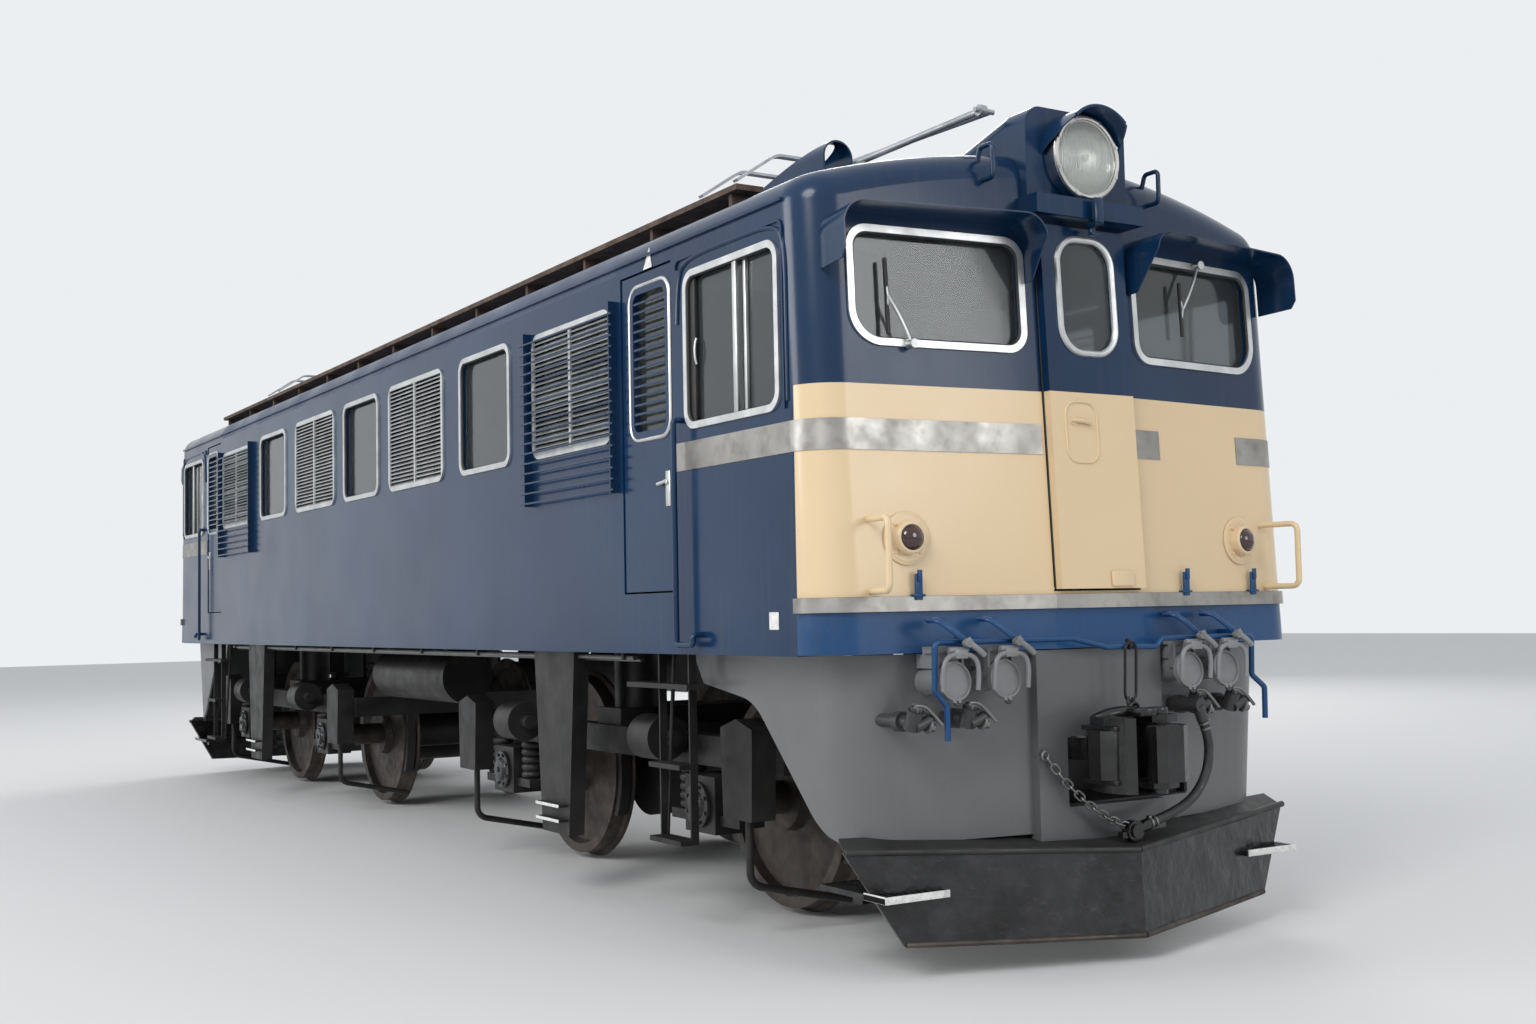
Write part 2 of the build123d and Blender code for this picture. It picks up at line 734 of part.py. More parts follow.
# Bright trim: the ledge strip round each nose and the belt at cab height
with BuildPart() as strip:
    add(leaning(end_outline(-STRIP_OUT, CORNER_X - 20), STRIP_BOTTOM, STRIP_TOP))
    add(leaning(end_outline(WALL, CORNER_X - 50), STRIP_BOTTOM - 5, STRIP_TOP + 5),
        mode=Mode.SUBTRACT)
    with BuildSketch(Plane.XZ):
        with Locations((CORNER_X - 100, NOSE_Z)):
            Rectangle(200, 400)
    extrude(amount=2 * BODY_HALF_WIDTH, both=True, mode=Mode.SUBTRACT)
with BuildPart() as belt:
    add(leaning(end_outline(-BELT_THICK, BELT_SIDE_X), BELT_LOW, BELT_HIGH))
    add(leaning(end_outline(0, BELT_SIDE_X - 50), BELT_LOW - 5, BELT_HIGH + 5),
        mode=Mode.SUBTRACT)
    with BuildSketch(Plane.YZ.offset(NOSE_X - 200)):
        with Locations((0, NOSE_Z)):
            Rectangle(2 * BELT_NOSE_IN, 2 * NOSE_Z)
        with Locations((sum(BELT_NOSE_GAP) / 2, NOSE_Z)):
            Rectangle(BELT_NOSE_GAP[1] - BELT_NOSE_GAP[0], 2 * NOSE_Z)
    extrude(amount=400, mode=Mode.SUBTRACT)
with BuildPart() as bright_trim:
    for head, turn in HEADS:
        add(strip.part.rotate(Axis.Z, turn))
        add(belt.part.rotate(Axis.Z, turn))
bright_trim.part.label = "bright_trim"
export_step(bright_trim.part, "parts/bright_trim.step")


# Skirts: bent sheet below each buffer beam, cut to an S behind and slotted for the coupler
def skirt_outline(inset, level, tip):
    """Skirt plan at one level: flat middle, swept panels, straight flanks."""
    with BuildSketch(Plane.XY.offset(level)) as outline:
        with BuildLine():
            Polyline(
                (SKIRT_BACK - inset * 5, -tip[1] + inset),
                (tip[0] - inset, -tip[1] + inset),
                (SKIRT_PANEL_X - inset, -SKIRT_CENTRE_HALF),
                (SKIRT_PANEL_X - inset, SKIRT_CENTRE_HALF),
                (tip[0] - inset, tip[1] - inset),
                (SKIRT_BACK - inset * 5, tip[1] - inset),
                close=True,
            )
        make_face()
        tips = outline.vertices().filter_by_position(Axis.X, tip[0] - inset - 1, tip[0] - inset + 1)
        fillet(tips, radius=SKIRT_CORNER - inset)
    return outline.sketch


with BuildPart() as skirt_form:
    loft([skirt_outline(0, SKIRT_LOW, SKIRT_LOW_TIP).face(),
          skirt_outline(0, SKIRT_TOP, SKIRT_TOP_TIP).face()], ruled=True)
with BuildPart() as skirt:
    add(skirt_form.part)
    loft([skirt_outline(SKIRT_SHEET, SKIRT_LOW, SKIRT_LOW_TIP).face(),
          skirt_outline(SKIRT_SHEET, SKIRT_TOP, SKIRT_TOP_TIP).face()],
         ruled=True, mode=Mode.SUBTRACT)
    with BuildSketch(Plane.YZ.offset(SKIRT_PANEL_X - SKIRT_SHEET)):
        with Locations((0, (SKIRT_CENTRE_LOW + SKIRT_TOP) / 2)):
            Rectangle(2 * SKIRT_CENTRE_HALF, SKIRT_TOP - SKIRT_CENTRE_LOW)
    extrude(amount=SKIRT_CENTRE_PROUD + SKIRT_SHEET)
    with BuildSketch(Plane.XZ) as corner:
        with BuildLine():
            Polyline(*SKIRT_CURVE, (5900, 400), (4300, 400), (4300, 1400), close=True)
        make_face()
        fillet(corner.vertices().sort_by_distance((5150, 1125, 0))[0], radius=300)
        fillet(corner.vertices().sort_by_distance((5640, 600, 0))[0], radius=400)
    extrude(amount=2 * BODY_HALF_WIDTH, both=True, mode=Mode.SUBTRACT)
    with BuildSketch(Plane.YZ.offset(SKIRT_PANEL_X - 400)):
        with Locations(((SLOT_LEFT + SLOT_RIGHT) / 2, (SLOT_LOW + SLOT_HIGH) / 2)):
            RectangleRounded(SLOT_LEFT - SLOT_RIGHT, SLOT_HIGH - SLOT_LOW, 15)
    extrude(amount=600, mode=Mode.SUBTRACT)
with BuildPart() as skirts:
    for head, turn in HEADS:
        add(skirt.part.rotate(Axis.Z, turn))
skirts.part.label = "skirts"
export_step(skirts.part, "parts/skirts.step")

# Snow ploughs: two flat wings meeting in a ridge, with posts behind and grating steps
with BuildPart() as plough:
    for label, side in NOSE_WINDOWS:
        end_top = Vector(PLOUGH_TIP_TOP[0], side * PLOUGH_TIP_TOP[1], PLOUGH_TIP_TOP[2])
        end_low = Vector(PLOUGH_TIP_LOW[0], side * PLOUGH_TIP_LOW[1], PLOUGH_TIP_LOW[2])
        across = (end_top - PLOUGH_RIDGE_TOP).normalized()
        down = PLOUGH_RIDGE_LOW - PLOUGH_RIDGE_TOP
        face = Plane(origin=PLOUGH_RIDGE_TOP, x_dir=across, z_dir=across.cross(down) * side)
        corners = [face.to_local_coords(p) for p in
                   (PLOUGH_RIDGE_TOP, end_top, end_low, PLOUGH_RIDGE_LOW)]
        with BuildSketch(face):
            with BuildLine():
                Polyline(*[(c.X, c.Y) for c in corners], close=True)
            make_face()
        extrude(amount=PLOUGH_SHEET)
        with Locations((PLOUGH_POST_X, side * PLOUGH_POST_Y, (PLOUGH_ARM_Z + SILL_Z) / 2)):
            Box(PLOUGH_POST, PLOUGH_POST, SILL_Z - PLOUGH_ARM_Z)
        rake = (PLOUGH_RIDGE_TOP.X - PLOUGH_TIP_TOP[0]) / PLOUGH_TIP_TOP[1]
        arm = PLOUGH_RIDGE_TOP.X - rake * PLOUGH_POST_Y - 30
        with Locations(((PLOUGH_POST_X + arm) / 2, side * PLOUGH_POST_Y, PLOUGH_ARM_Z)):
            Box(arm - PLOUGH_POST_X, PLOUGH_POST, PLOUGH_POST)
        with Locations((STEP_X, side * STEP_Y, STEP_Z)):
            Box(STEP_LENGTH, STEP_WIDTH, STEP_DEEP)
            Box(STEP_LENGTH - 2 * STEP_BAR, STEP_WIDTH - 2 * STEP_BAR, STEP_DEEP,
                mode=Mode.SUBTRACT)
            with GridLocations(0, (STEP_WIDTH - STEP_BAR) / (STEP_BARS + 1), 1, STEP_BARS):
                Box(STEP_LENGTH, STEP_BAR, STEP_DEEP)
        with Locations(((PLOUGH_POST_X + STEP_X) / 2, side * (STEP_Y + PLOUGH_POST_Y) / 2,
                        STEP_Z - 32)):
            Box(60, STEP_Y - PLOUGH_POST_Y + 200, 40)
    with Locations((RIDGE_BAR_X, 0, (RIDGE_BAR_LOW + RIDGE_BAR_HIGH) / 2)):
        Cylinder(RIDGE_BAR_RADIUS, RIDGE_BAR_HIGH - RIDGE_BAR_LOW)
with BuildPart() as ploughs:
    for head, turn in HEADS:
        add(plough.part.rotate(Axis.Z, turn))
ploughs.part.label = "ploughs"
export_step(ploughs.part, "parts/ploughs.step")

# Underframe: floor, sills, bolsters with pivot pins, side posts and the coupler pockets
with BuildPart() as underframe:
    with Locations((0, 0, FLOOR_Z - DECK_SHEET / 2)):
        Box(2 * CORNER_X, 2 * DECK_HALF_WIDTH, DECK_SHEET)
    for label, side in NOSE_WINDOWS:
        with Locations((0, side * (DECK_HALF_WIDTH - SILL_WIDTH / 2), (SILL_Z + FLOOR_Z) / 2)):
            Box(2 * CORNER_X, SILL_WIDTH, FLOOR_Z - SILL_Z)
        with Locations((0, side * LONG_BEAM_Y, (SILL_Z + FLOOR_Z) / 2)):
            Box(2 * CORNER_X, LONG_BEAM, FLOOR_Z - SILL_Z)
    for x, length in CROSS_BEAMS:
        with Locations((x, 0, (SILL_Z + FLOOR_Z) / 2)):
            Box(length, 2 * DECK_HALF_WIDTH, FLOOR_Z - SILL_Z)
    for x in (-BOGIE_X, BOGIE_X):
        with Locations((x, 0, (PIN_LOW + FLOOR_Z) / 2)):
            Cylinder(PIN_RADIUS, FLOOR_Z - PIN_LOW)
        for label, side in NOSE_WINDOWS:
            with BuildSketch(Plane(origin=(x, side * POST_OUT, 0), x_dir=(1, 0, 0),
                                   z_dir=(0, -1, 0))):
                with BuildLine():
                    Polyline((-POST_TOP_HALF, SILL_Z + 20), (POST_TOP_HALF, SILL_Z + 20),
                             (POST_LOW_HALF, POST_LOW), (-POST_LOW_HALF, POST_LOW), close=True)
                make_face()
            extrude(amount=side * POST_DEPTH)
            with Locations(*[(x, side * (POST_OUT + TREAD_REACH / 2), z) for z in POST_TREADS]):
                Box(2 * POST_LOW_HALF - 40, TREAD_REACH, TREAD_SHEET)
    for sign in (-1, 1):
        with Locations((sign * COUPLER_PIVOT_X, 0, (DRAFT_LOW + SILL_Z) / 2)):
            Box(DRAFT_LENGTH, 2 * DRAFT_HALF, SILL_Z - DRAFT_LOW)
        with Locations((sign * COUPLER_PIVOT_X, 0, COUPLER_Z)):
            Cylinder(COUPLER_PIN, COUPLER_PIN_TALL)
underframe.part.label = "underframe"
export_step(underframe.part, "parts/underframe.step")

# Couplers: shank and head with a hinged knuckle
for head, turn in HEADS:
    with BuildPart() as coupler:
        shank_back = COUPLER_PIVOT_X - 80
        with Locations(((shank_back + SHANK_END_X) / 2, 0, COUPLER_Z)):
            Box(SHANK_END_X - shank_back, 2 * SHANK_HALF, SHANK_HEIGHT)
        with Locations((COUPLER_PIVOT_X, 0, COUPLER_Z)):
            Cylinder(COUPLER_PIN + COUPLER_FIT, SHANK_HEIGHT, mode=Mode.SUBTRACT)
        with BuildSketch(Plane.XY.offset(COUPLER_Z - HEAD_HALF_HEIGHT)):
            with BuildLine():
                Polyline(*HEAD_PLAN, close=True)
            make_face()
        extrude(amount=2 * HEAD_HALF_HEIGHT)
        for level in (COUPLER_Z - HEAD_HALF_HEIGHT, COUPLER_Z + HEAD_HALF_HEIGHT - EAR_THICK):
            with BuildSketch(Plane.XY.offset(level)):
                with BuildLine():
                    Polyline(*EAR_PLAN, close=True)
                make_face()
            extrude(amount=EAR_THICK)
        with Locations((KNUCKLE_X, KNUCKLE_Y, COUPLER_Z)):
            Cylinder(KNUCKLE_PIN, 2 * HEAD_HALF_HEIGHT)
    with BuildPart() as turned_coupler:
        add(coupler.part.rotate(Axis.Z, turn))
    turned_coupler.part.label = "coupler_" + head
    export_step(turned_coupler.part, "parts/coupler_" + head + ".step")
    with BuildPart() as knuckle:
        with BuildSketch(Plane.XY.offset(COUPLER_Z - HEAD_HALF_HEIGHT + KNUCKLE_STEP)):
            with BuildLine():
                Polyline(*KNUCKLE_PLAN, close=True)
            make_face()
            with Locations((KNUCKLE_X, KNUCKLE_Y)):
                Circle(KNUCKLE_TAIL)
                Circle(KNUCKLE_PIN + COUPLER_FIT, mode=Mode.SUBTRACT)
        extrude(amount=2 * HEAD_HALF_HEIGHT - 2 * KNUCKLE_STEP)
    with BuildPart() as turned_knuckle:
        add(knuckle.part.rotate(Axis.Z, turn))
    turned_knuckle.part.label = "knuckle_" + head
    export_step(turned_knuckle.part, "parts/knuckle_" + head + ".step")

# Gangway doors in the noses
for head, turn in HEADS:
    front_x = NOSE_X + NOSE_DOOR_PROUD
    with BuildPart() as nose_door:
        with BuildSketch(Plane.XY.offset(NOSE_DOOR_LOW)):
            with Locations((front_x - NOSE_DOOR_THICK / 2, 0)):
                Rectangle(NOSE_DOOR_THICK, NOSE_DOOR_WIDTH)
        extrude(amount=(NOSE_DOOR_HIGH - NOSE_DOOR_LOW) * math.hypot(1, LEAN), dir=(-LEAN, 0, 1))
        with BuildSketch(Plane.YZ.offset(NOSE_X - 300)):
            with Locations((0, DOOR_LIGHT_Z)):
                RectangleRounded(DOOR_LIGHT_WIDTH, DOOR_LIGHT_HEIGHT, DOOR_LIGHT_RADIUS)
        extrude(amount=500, mode=Mode.SUBTRACT)
        with BuildSketch(Plane(origin=(front_x - LEAN * (POCKET_Z - NOSE_Z), POCKET_Y, POCKET_Z),
                               x_dir=(0, 1, 0), z_dir=(1, 0, LEAN))):
            RectangleRounded(POCKET_WIDTH, POCKET_HEIGHT, POCKET_RADIUS)
        extrude(amount=-POCKET_DEPTH, mode=Mode.SUBTRACT)
        for level in NOSE_HINGES:
            add(hinge_knuckle(nose_hinge(level), -HINGE_BACK))
    with BuildPart() as turned_nose_door:
        add(nose_door.part.rotate(Axis.Z, turn))
    turned_nose_door.part.label = "gangway_door_" + head
    export_step(turned_nose_door.part, "parts/gangway_door_" + head + ".step")

# Crew doors in the sides
for name, end, side in CREW_DOORS:
    outer = Plane(origin=(0, side * (BODY_HALF_WIDTH - CREW_DOOR_IN), 0), x_dir=(1, 0, 0),
                  z_dir=(0, -1, 0))
    with BuildPart() as crew_door:
        with BuildSketch(outer):
            with Locations((end * CREW_DOOR_X, (CREW_DOOR_LOW + CREW_DOOR_HIGH) / 2)):
                Rectangle(CREW_DOOR_WIDTH, CREW_DOOR_HIGH - CREW_DOOR_LOW)
            with Locations((end * (CREW_DOOR_X + CREW_LIGHT_SHIFT), CREW_LIGHT_Z)):
                RectangleRounded(CREW_LIGHT_WIDTH - 60, CREW_LIGHT_HEIGHT - 60, 50,
                                 mode=Mode.SUBTRACT)
        extrude(amount=side * CREW_DOOR_THICK)
        with BuildSketch(outer):
            with Locations((end * (CREW_DOOR_X + CREW_LIGHT_SHIFT), CREW_LIGHT_Z)):
                RectangleRounded(CREW_LIGHT_WIDTH, CREW_LIGHT_HEIGHT, 75)
                RectangleRounded(CREW_LIGHT_WIDTH - 2 * CREW_LIGHT_RIM,
                                 CREW_LIGHT_HEIGHT - 2 * CREW_LIGHT_RIM, 48, mode=Mode.SUBTRACT)
        extrude(amount=-side * CREW_LIGHT_OUT)
        with BuildSketch(outer):
            with Locations((end * (CREW_DOOR_X + CREW_LIGHT_SHIFT), CREW_LIGHT_Z)):
                with GridLocations(0, (CREW_LIGHT_HEIGHT - 60) / (CREW_BARS + 1), 1, CREW_BARS):
                    Rectangle(CREW_LIGHT_WIDTH - 50, CREW_BAR)
        extrude(amount=-side * (CREW_LIGHT_OUT - 2))
        for level in CREW_HINGES:
            place = Location((end * CREW_HINGE_X, side * CREW_HINGE_Y, level))
            add(hinge_knuckle(place, side * HINGE_BACK))
    crew_door.part.label = "crew_door_" + name
    export_step(crew_door.part, "parts/crew_door_" + name + ".step")

# Headlight housings with their hooded lamps
with BuildPart() as housing:
    with BuildSketch(Plane.XZ):
        with BuildLine():
            Polyline(*HOUSING_PROFILE, close=True)
        make_face()
    extrude(amount=HOUSING_HALF, both=True)
    ridges = housing.edges().filter_by(lambda e: e.center().Z > 3600 and abs(e.center().Y) > 250
                                       and e.length > 100 and abs(e.center().X - HOUSING_FRONT) > 1)
    fillet(ridges, radius=90)
    with Locations((HOUSING_FRONT + 20, 0, 3314)):
        Box(140, 2 * (HOUSING_HALF + 20), 88)
    add(dome_shape, mode=Mode.SUBTRACT)
with BuildPart() as headlight_housings:
    for head, turn in HEADS:
        add(housing.part.rotate(Axis.Z, turn))
headlight_housings.part.label = "headlight_housings"
export_step(headlight_housings.part, "parts/headlight_housings.step")

# Lamps: headlamps with hoods, and marker lamps low on the noses
with BuildPart() as lamp:
    with BuildSketch(Plane.YZ.offset(HOUSING_FRONT)):
        with Locations((0, LAMP_Z)):
            Circle(LAMP_RADIUS)
    extrude(amount=LAMP_X - HOUSING_FRONT)
    with Locations((LAMP_X - DISH_DEPTH + DISH_RADIUS, 0, LAMP_Z)):
        Sphere(DISH_RADIUS, mode=Mode.SUBTRACT)
with BuildPart() as hood:
    with BuildSketch(Plane.YZ.offset(HOUSING_FRONT)):
        with Locations((0, LAMP_Z)):
            Circle(HOOD_RADIUS)
            Circle(HOOD_RADIUS - 8, mode=Mode.SUBTRACT)
    extrude(amount=HOOD_OUT)
    with BuildSketch(Plane.XZ):
        with BuildLine():
            Polyline((HOUSING_FRONT - 50, LAMP_Z - 300), (HOUSING_FRONT - 50, LAMP_Z - 40),
                     (HOUSING_FRONT + 40, LAMP_Z + 40), (HOUSING_FRONT + HOOD_OUT + 10, LAMP_Z + 150),
                     (HOUSING_FRONT + HOOD_OUT + 10, LAMP_Z - 300), close=True)
        make_face()
    extrude(amount=400, both=True, mode=Mode.SUBTRACT)
with BuildPart() as headlamps:
    for head, turn in HEADS:
        add(lamp.part.rotate(Axis.Z, turn))
        add(hood.part.rotate(Axis.Z, turn))
headlamps.part.label = "headlamps"
export_step(headlamps.part, "parts/headlamps.step")
markers = []
for label, side in NOSE_WINDOWS:
    panel = nose_plane(side, side * MARKER_Y, MARKER_Z)
    with BuildPart() as marker:
        with BuildSketch(panel):
            Circle(MARKER_RIM)
        extrude(amount=MARKER_RIM_OUT)
        with BuildSketch(panel.offset(MARKER_RIM_OUT)):
            Circle(MARKER_BODY)
        extrude(amount=MARKER_BODY_OUT)
    markers.append(marker.part)
with BuildPart() as marker_lamps:
    for head, turn in HEADS:
        for body in markers:
            add(body.rotate(Axis.Z, turn))
marker_lamps.part.label = "marker_lamps"
export_step(marker_lamps.part, "parts/marker_lamps.step")

# Window hoods: a bent sheet over each nose window, a drip moulding round each cab side window
hoods = []
for label, side in NOSE_WINDOWS:
    middle = (HOOD_IN + HOOD_OUTER) / 2
    panel = nose_plane(side, side * middle, HOOD_TIP)
    width = HOOD_OUTER - HOOD_IN
    rise = HOOD_CREST - HOOD_TIP
    with BuildPart() as hood_sheet:
        with BuildSketch(panel.offset(-20)):
            with BuildLine() as arch:
                FilletPolyline((-side * width / 2, 0), (-side * width / 2, rise),
                               (side * width / 2, rise - 20), (side * (width / 2), 0), radius=110)
                offset(amount=HOOD_SHEET, side=Side.LEFT, closed=True)
            make_face()
        extrude(amount=HOOD_DEPTH + 20)
        with BuildSketch(Plane.XZ):
            with BuildLine():
                Polyline((6050, HOOD_TIP - 60), (6300, HOOD_TIP - 60), (6300, HOOD_CREST - 60),
                         (6235, HOOD_CREST - 60), close=True)
            make_face()
        extrude(amount=BODY_HALF_WIDTH, both=True, mode=Mode.SUBTRACT)
        add(leaning(end_outline(0, CORNER_X), STRIP_TOP, EAVES_Z), mode=Mode.SUBTRACT)
    hoods.append(hood_sheet.part)
for side_name, side in SIDES:
    with BuildPart() as drip:
        with BuildSketch(Plane.XZ.offset(-side * BODY_HALF_WIDTH)):
            with BuildLine():
                FilletPolyline((DRIP_BACK_X, DRIP_TOP - 50), (DRIP_BACK_X, DRIP_TOP),
                               (DRIP_FRONT_X, DRIP_TOP), (DRIP_FRONT_X, DRIP_LOW), radius=45)
                offset(amount=DRIP_WIDE, side=Side.RIGHT, closed=True)
            make_face()
        extrude(amount=-side * DRIP_OUT)
    hoods.append(drip.part)
with BuildPart() as window_hoods:
    for head, turn in HEADS:
        for body in hoods:
            add(body.rotate(Axis.Z, turn))
window_hoods.part.label = "window_hoods"
export_step(window_hoods.part, "parts/window_hoods.step")

# Window frames and panes
with BuildPart() as window_frames:
    for side_name, side in SIDES:
        outer = Plane(origin=(0, side * (BODY_HALF_WIDTH + FRAME_OUT), 0), x_dir=(1, 0, 0),
                      z_dir=(0, -1, 0))
        with BuildSketch(outer):
            for label, x, width, low, high in SIDE_WINDOWS:
                with Locations((x, (low + high) / 2)):
                    RectangleRounded(width, high - low, OPENING_RADIUS + 20)
                    RectangleRounded(width - 2 * FRAME_BAND, high - low - 2 * FRAME_BAND,
                                     OPENING_RADIUS - 10, mode=Mode.SUBTRACT)
        extrude(amount=side * FRAME_OUT)
    for head, turn in HEADS:
        for label, side in NOSE_WINDOWS:
            band = nose_window(side, FRAME_BAND - 6)
            hole = nose_window(side, -6)
            bent = extrude(band, amount=FRAME_OUT, mode=Mode.PRIVATE)
            bent = bent - extrude(hole, amount=FRAME_OUT + 5, both=True, mode=Mode.PRIVATE)
            add(bent.rotate(Axis.Z, turn))
window_frames.part.label = "window_frames"
export_step(window_frames.part, "parts/window_frames.step")
with BuildPart() as panes:
    for side_name, side in SIDES:
        inner = Plane(origin=(0, side * (BODY_HALF_WIDTH - PANE_IN), 0), x_dir=(1, 0, 0),
                      z_dir=(0, -1, 0))
        with BuildSketch(inner):
            for label, x, width, low, high in SIDE_WINDOWS:
                with Locations((x, (low + high) / 2)):
                    RectangleRounded(width - 2 * (FRAME_BAND - REBATE + PANE_FIT),
                                     high - low - 2 * (FRAME_BAND - REBATE + PANE_FIT),
                                     OPENING_RADIUS - PANE_FIT)
        extrude(amount=side * PANE)
    for head, turn in HEADS:
        for label, side in NOSE_WINDOWS:
            glass = extrude(nose_window(side, -PANE_FIT), amount=-PANE, mode=Mode.PRIVATE)
            sunk = nose_plane(side, side * NOSE_WINDOW_MID, 0).z_dir * -PANE_IN
            add(glass.moved(Location(sunk)).rotate(Axis.Z, turn))
panes.part.label = "panes"
export_step(panes.part, "parts/panes.step")

# Louvres in the sides: slats in a frame, and guard bars over the outer ones
louvre_panels = {}
for kind, width, low, high in [("plain", LOUVRE_WIDTH, BAND_LOW, BAND_HIGH),
                               ("barred", BARRED_WIDTH, BAND_LOW, BARRED_HIGH)]:
    pitch = (high - low - 2 * FRAME_BAND) / SLATS
    levels = [(SLAT_IN, low + FRAME_BAND + (i + 0.5) * pitch) for i in range(SLATS)]
    run = width - 2 * FRAME_BAND + 10
    with BuildPart() as panel:
        with BuildSketch(Plane.XZ.offset(FRAME_OUT)):
            with Locations((0, (low + high) / 2)):
                RectangleRounded(width, high - low, OPENING_RADIUS + 20)
                Rectangle(width - 2 * FRAME_BAND, high - low - 2 * FRAME_BAND,
                          mode=Mode.SUBTRACT)
                Rectangle(MULLION, high - low - 20)
        extrude(amount=-FRAME_OUT)
        with BuildSketch(Plane.YZ.offset(-run / 2)):
            with Locations(*levels):
                Rectangle(SLAT_DEPTH, SLAT_THICK, rotation=SLAT_TILT)
        extrude(amount=run)
    louvre_panels[kind] = panel.part
with BuildPart() as louvres:
    for kind, places in LOUVRE_PLACES:
        right = [louvre_panels[kind].moved(Location((x, -BODY_HALF_WIDTH, 0))) for x in places]
        add(right + [panel_right.rotate(Axis.Z, 180) for panel_right in right])
louvres.part.label = "louvres"
export_step(louvres.part, "parts/louvres.step")

# Guard bars standing off the side in front of the outer louvres
with BuildPart() as guard:
    count = int((GUARD_HIGH - GUARD_LOW) / GUARD_PITCH) + 1
    bars = [Location((0, 0, GUARD_LOW + i * GUARD_PITCH), (0, 90, 0)) for i in range(count)]
    with Locations(*bars):
        Cylinder(GUARD_RADIUS, GUARD_WIDTH)
    middle = (GUARD_LOW + GUARD_HIGH) / 2
    with Locations((-GUARD_POST_X, GUARD_OUT / 2, middle), (GUARD_POST_X, GUARD_OUT / 2, middle)):
        Box(GUARD_POST, GUARD_OUT, GUARD_HIGH - GUARD_LOW + 30)
with BuildPart() as guard_bars:
    for side_name, side in SIDES:
        for x in (-BARRED_X, BARRED_X):
            turn = 0 if side < 0 else 180
            add(guard.part.rotate(Axis.Z, turn).moved(
                Location((x, side * (BODY_HALF_WIDTH + GUARD_OUT), 0))))
guard_bars.part.label = "guard_bars"
export_step(guard_bars.part, "parts/guard_bars.step")

# Cab fittings behind the glass: bulkhead, desk and seats in each cab
with BuildPart() as cab_fitting:
    with Locations((CAB_BULKHEAD_X, 0, (FLOOR_Z + EAVES_Z) / 2)):
        Box(BULKHEAD, 2 * DECK_HALF_WIDTH, EAVES_Z - FLOOR_Z)
    for label, x, y, length, width, low, high in CAB_FURNITURE:
        with Locations((x, y, (low + high) / 2)):
            Box(length, width, high - low)
with BuildPart() as cab_fittings:
    for head, turn in HEADS:
        add(cab_fitting.part.rotate(Axis.Z, turn))
cab_fittings.part.label = "cab_fittings"
export_step(cab_fittings.part, "parts/cab_fittings.step")

# Machine room: the control gear as one plain block
with BuildPart() as machine_room:
    with Locations((0, 0, FLOOR_Z + MACHINE_HEIGHT / 2)):
        Box(MACHINE_LENGTH, 2 * MACHINE_HALF, MACHINE_HEIGHT)
machine_room.part.label = "machine_room"
export_step(machine_room.part, "parts/machine_room.step")

# Roof hatches, running boards and horn covers
with BuildPart() as roof_hatches:
    for x, length in HATCHES:
        with BuildSketch(Plane.YZ.offset(x - length / 2)):
            with BuildLine():
                Polyline(*HATCH_PLAN, close=True)
            make_face()
        extrude(amount=length)
    add(roof_outline(0, EDGE_RADIUS).moved(Location((-CAB_ROOF_X, 0, 0))))
    extrude(amount=2 * CAB_ROOF_X, dir=(1, 0, 0), mode=Mode.SUBTRACT)
roof_hatches.part.label = "roof_hatches"
export_step(roof_hatches.part, "parts/roof_hatches.step")
with BuildPart() as running_boards:
    for label, side in NOSE_WINDOWS:
        with Locations((0, side * BOARD_Y, BOARD_Z)):
            Box(2 * BOARD_X, BOARD_WIDTH, BOARD_THICK)
        spacing = 2 * (BOARD_X - BRACKET_END) / (BRACKETS - 1)
        with Locations(*[(-BOARD_X + BRACKET_END + i * spacing, side * BOARD_Y, 3480)
                         for i in range(BRACKETS)]):
            Box(30, 100, 110)
    add(roof_outline(0, 0).moved(Location((-ROOF_END_X, 0, 0))))
    extrude(amount=2 * ROOF_END_X, dir=(1, 0, 0), mode=Mode.SUBTRACT)
running_boards.part.label = "running_boards"
export_step(running_boards.part, "parts/running_boards.step")
with BuildPart() as horn_cover:
    with BuildSketch(Plane.YZ.offset(HORN_BACK)):
        with Locations((HORN_Y, HORN_Z - 110)):
            Rectangle(2 * HORN_HALF, 220)
        with Locations((HORN_Y, HORN_Z)):
            Circle(HORN_HALF)
    extrude(amount=HORN_FRONT - HORN_BACK)
    with BuildSketch(Plane.XZ):
        with BuildLine():
            Polyline((HORN_BACK - 10, HORN_BACK_Z), (HORN_BACK - 10, HORN_Z + 200),
                     (HORN_FRONT, HORN_Z + 200), (HORN_FRONT, HORN_Z + HORN_HALF + 1), close=True)
        make_face()
    extrude(amount=2 * BODY_HALF_WIDTH, both=True, mode=Mode.SUBTRACT)
    with BuildSketch(Plane.YZ.offset(HORN_FRONT)):
        with Locations((HORN_Y, HORN_Z - 20)):
            RectangleRounded(2 * HORN_HALF - 20, 2 * HORN_HALF + 20, HORN_HALF - 15)
    extrude(amount=-300, mode=Mode.SUBTRACT)
    add(roof_outline(0, 0).moved(Location((HORN_BACK - 50, 0, 0))))
    extrude(amount=HORN_FRONT - HORN_BACK + 100, dir=(1, 0, 0), mode=Mode.SUBTRACT)
with BuildPart() as horn_covers:
    for head, turn in HEADS:
        add(horn_cover.part.rotate(Axis.Z, turn))
horn_covers.part.label = "horn_covers"
export_step(horn_covers.part, "parts/horn_covers.step")

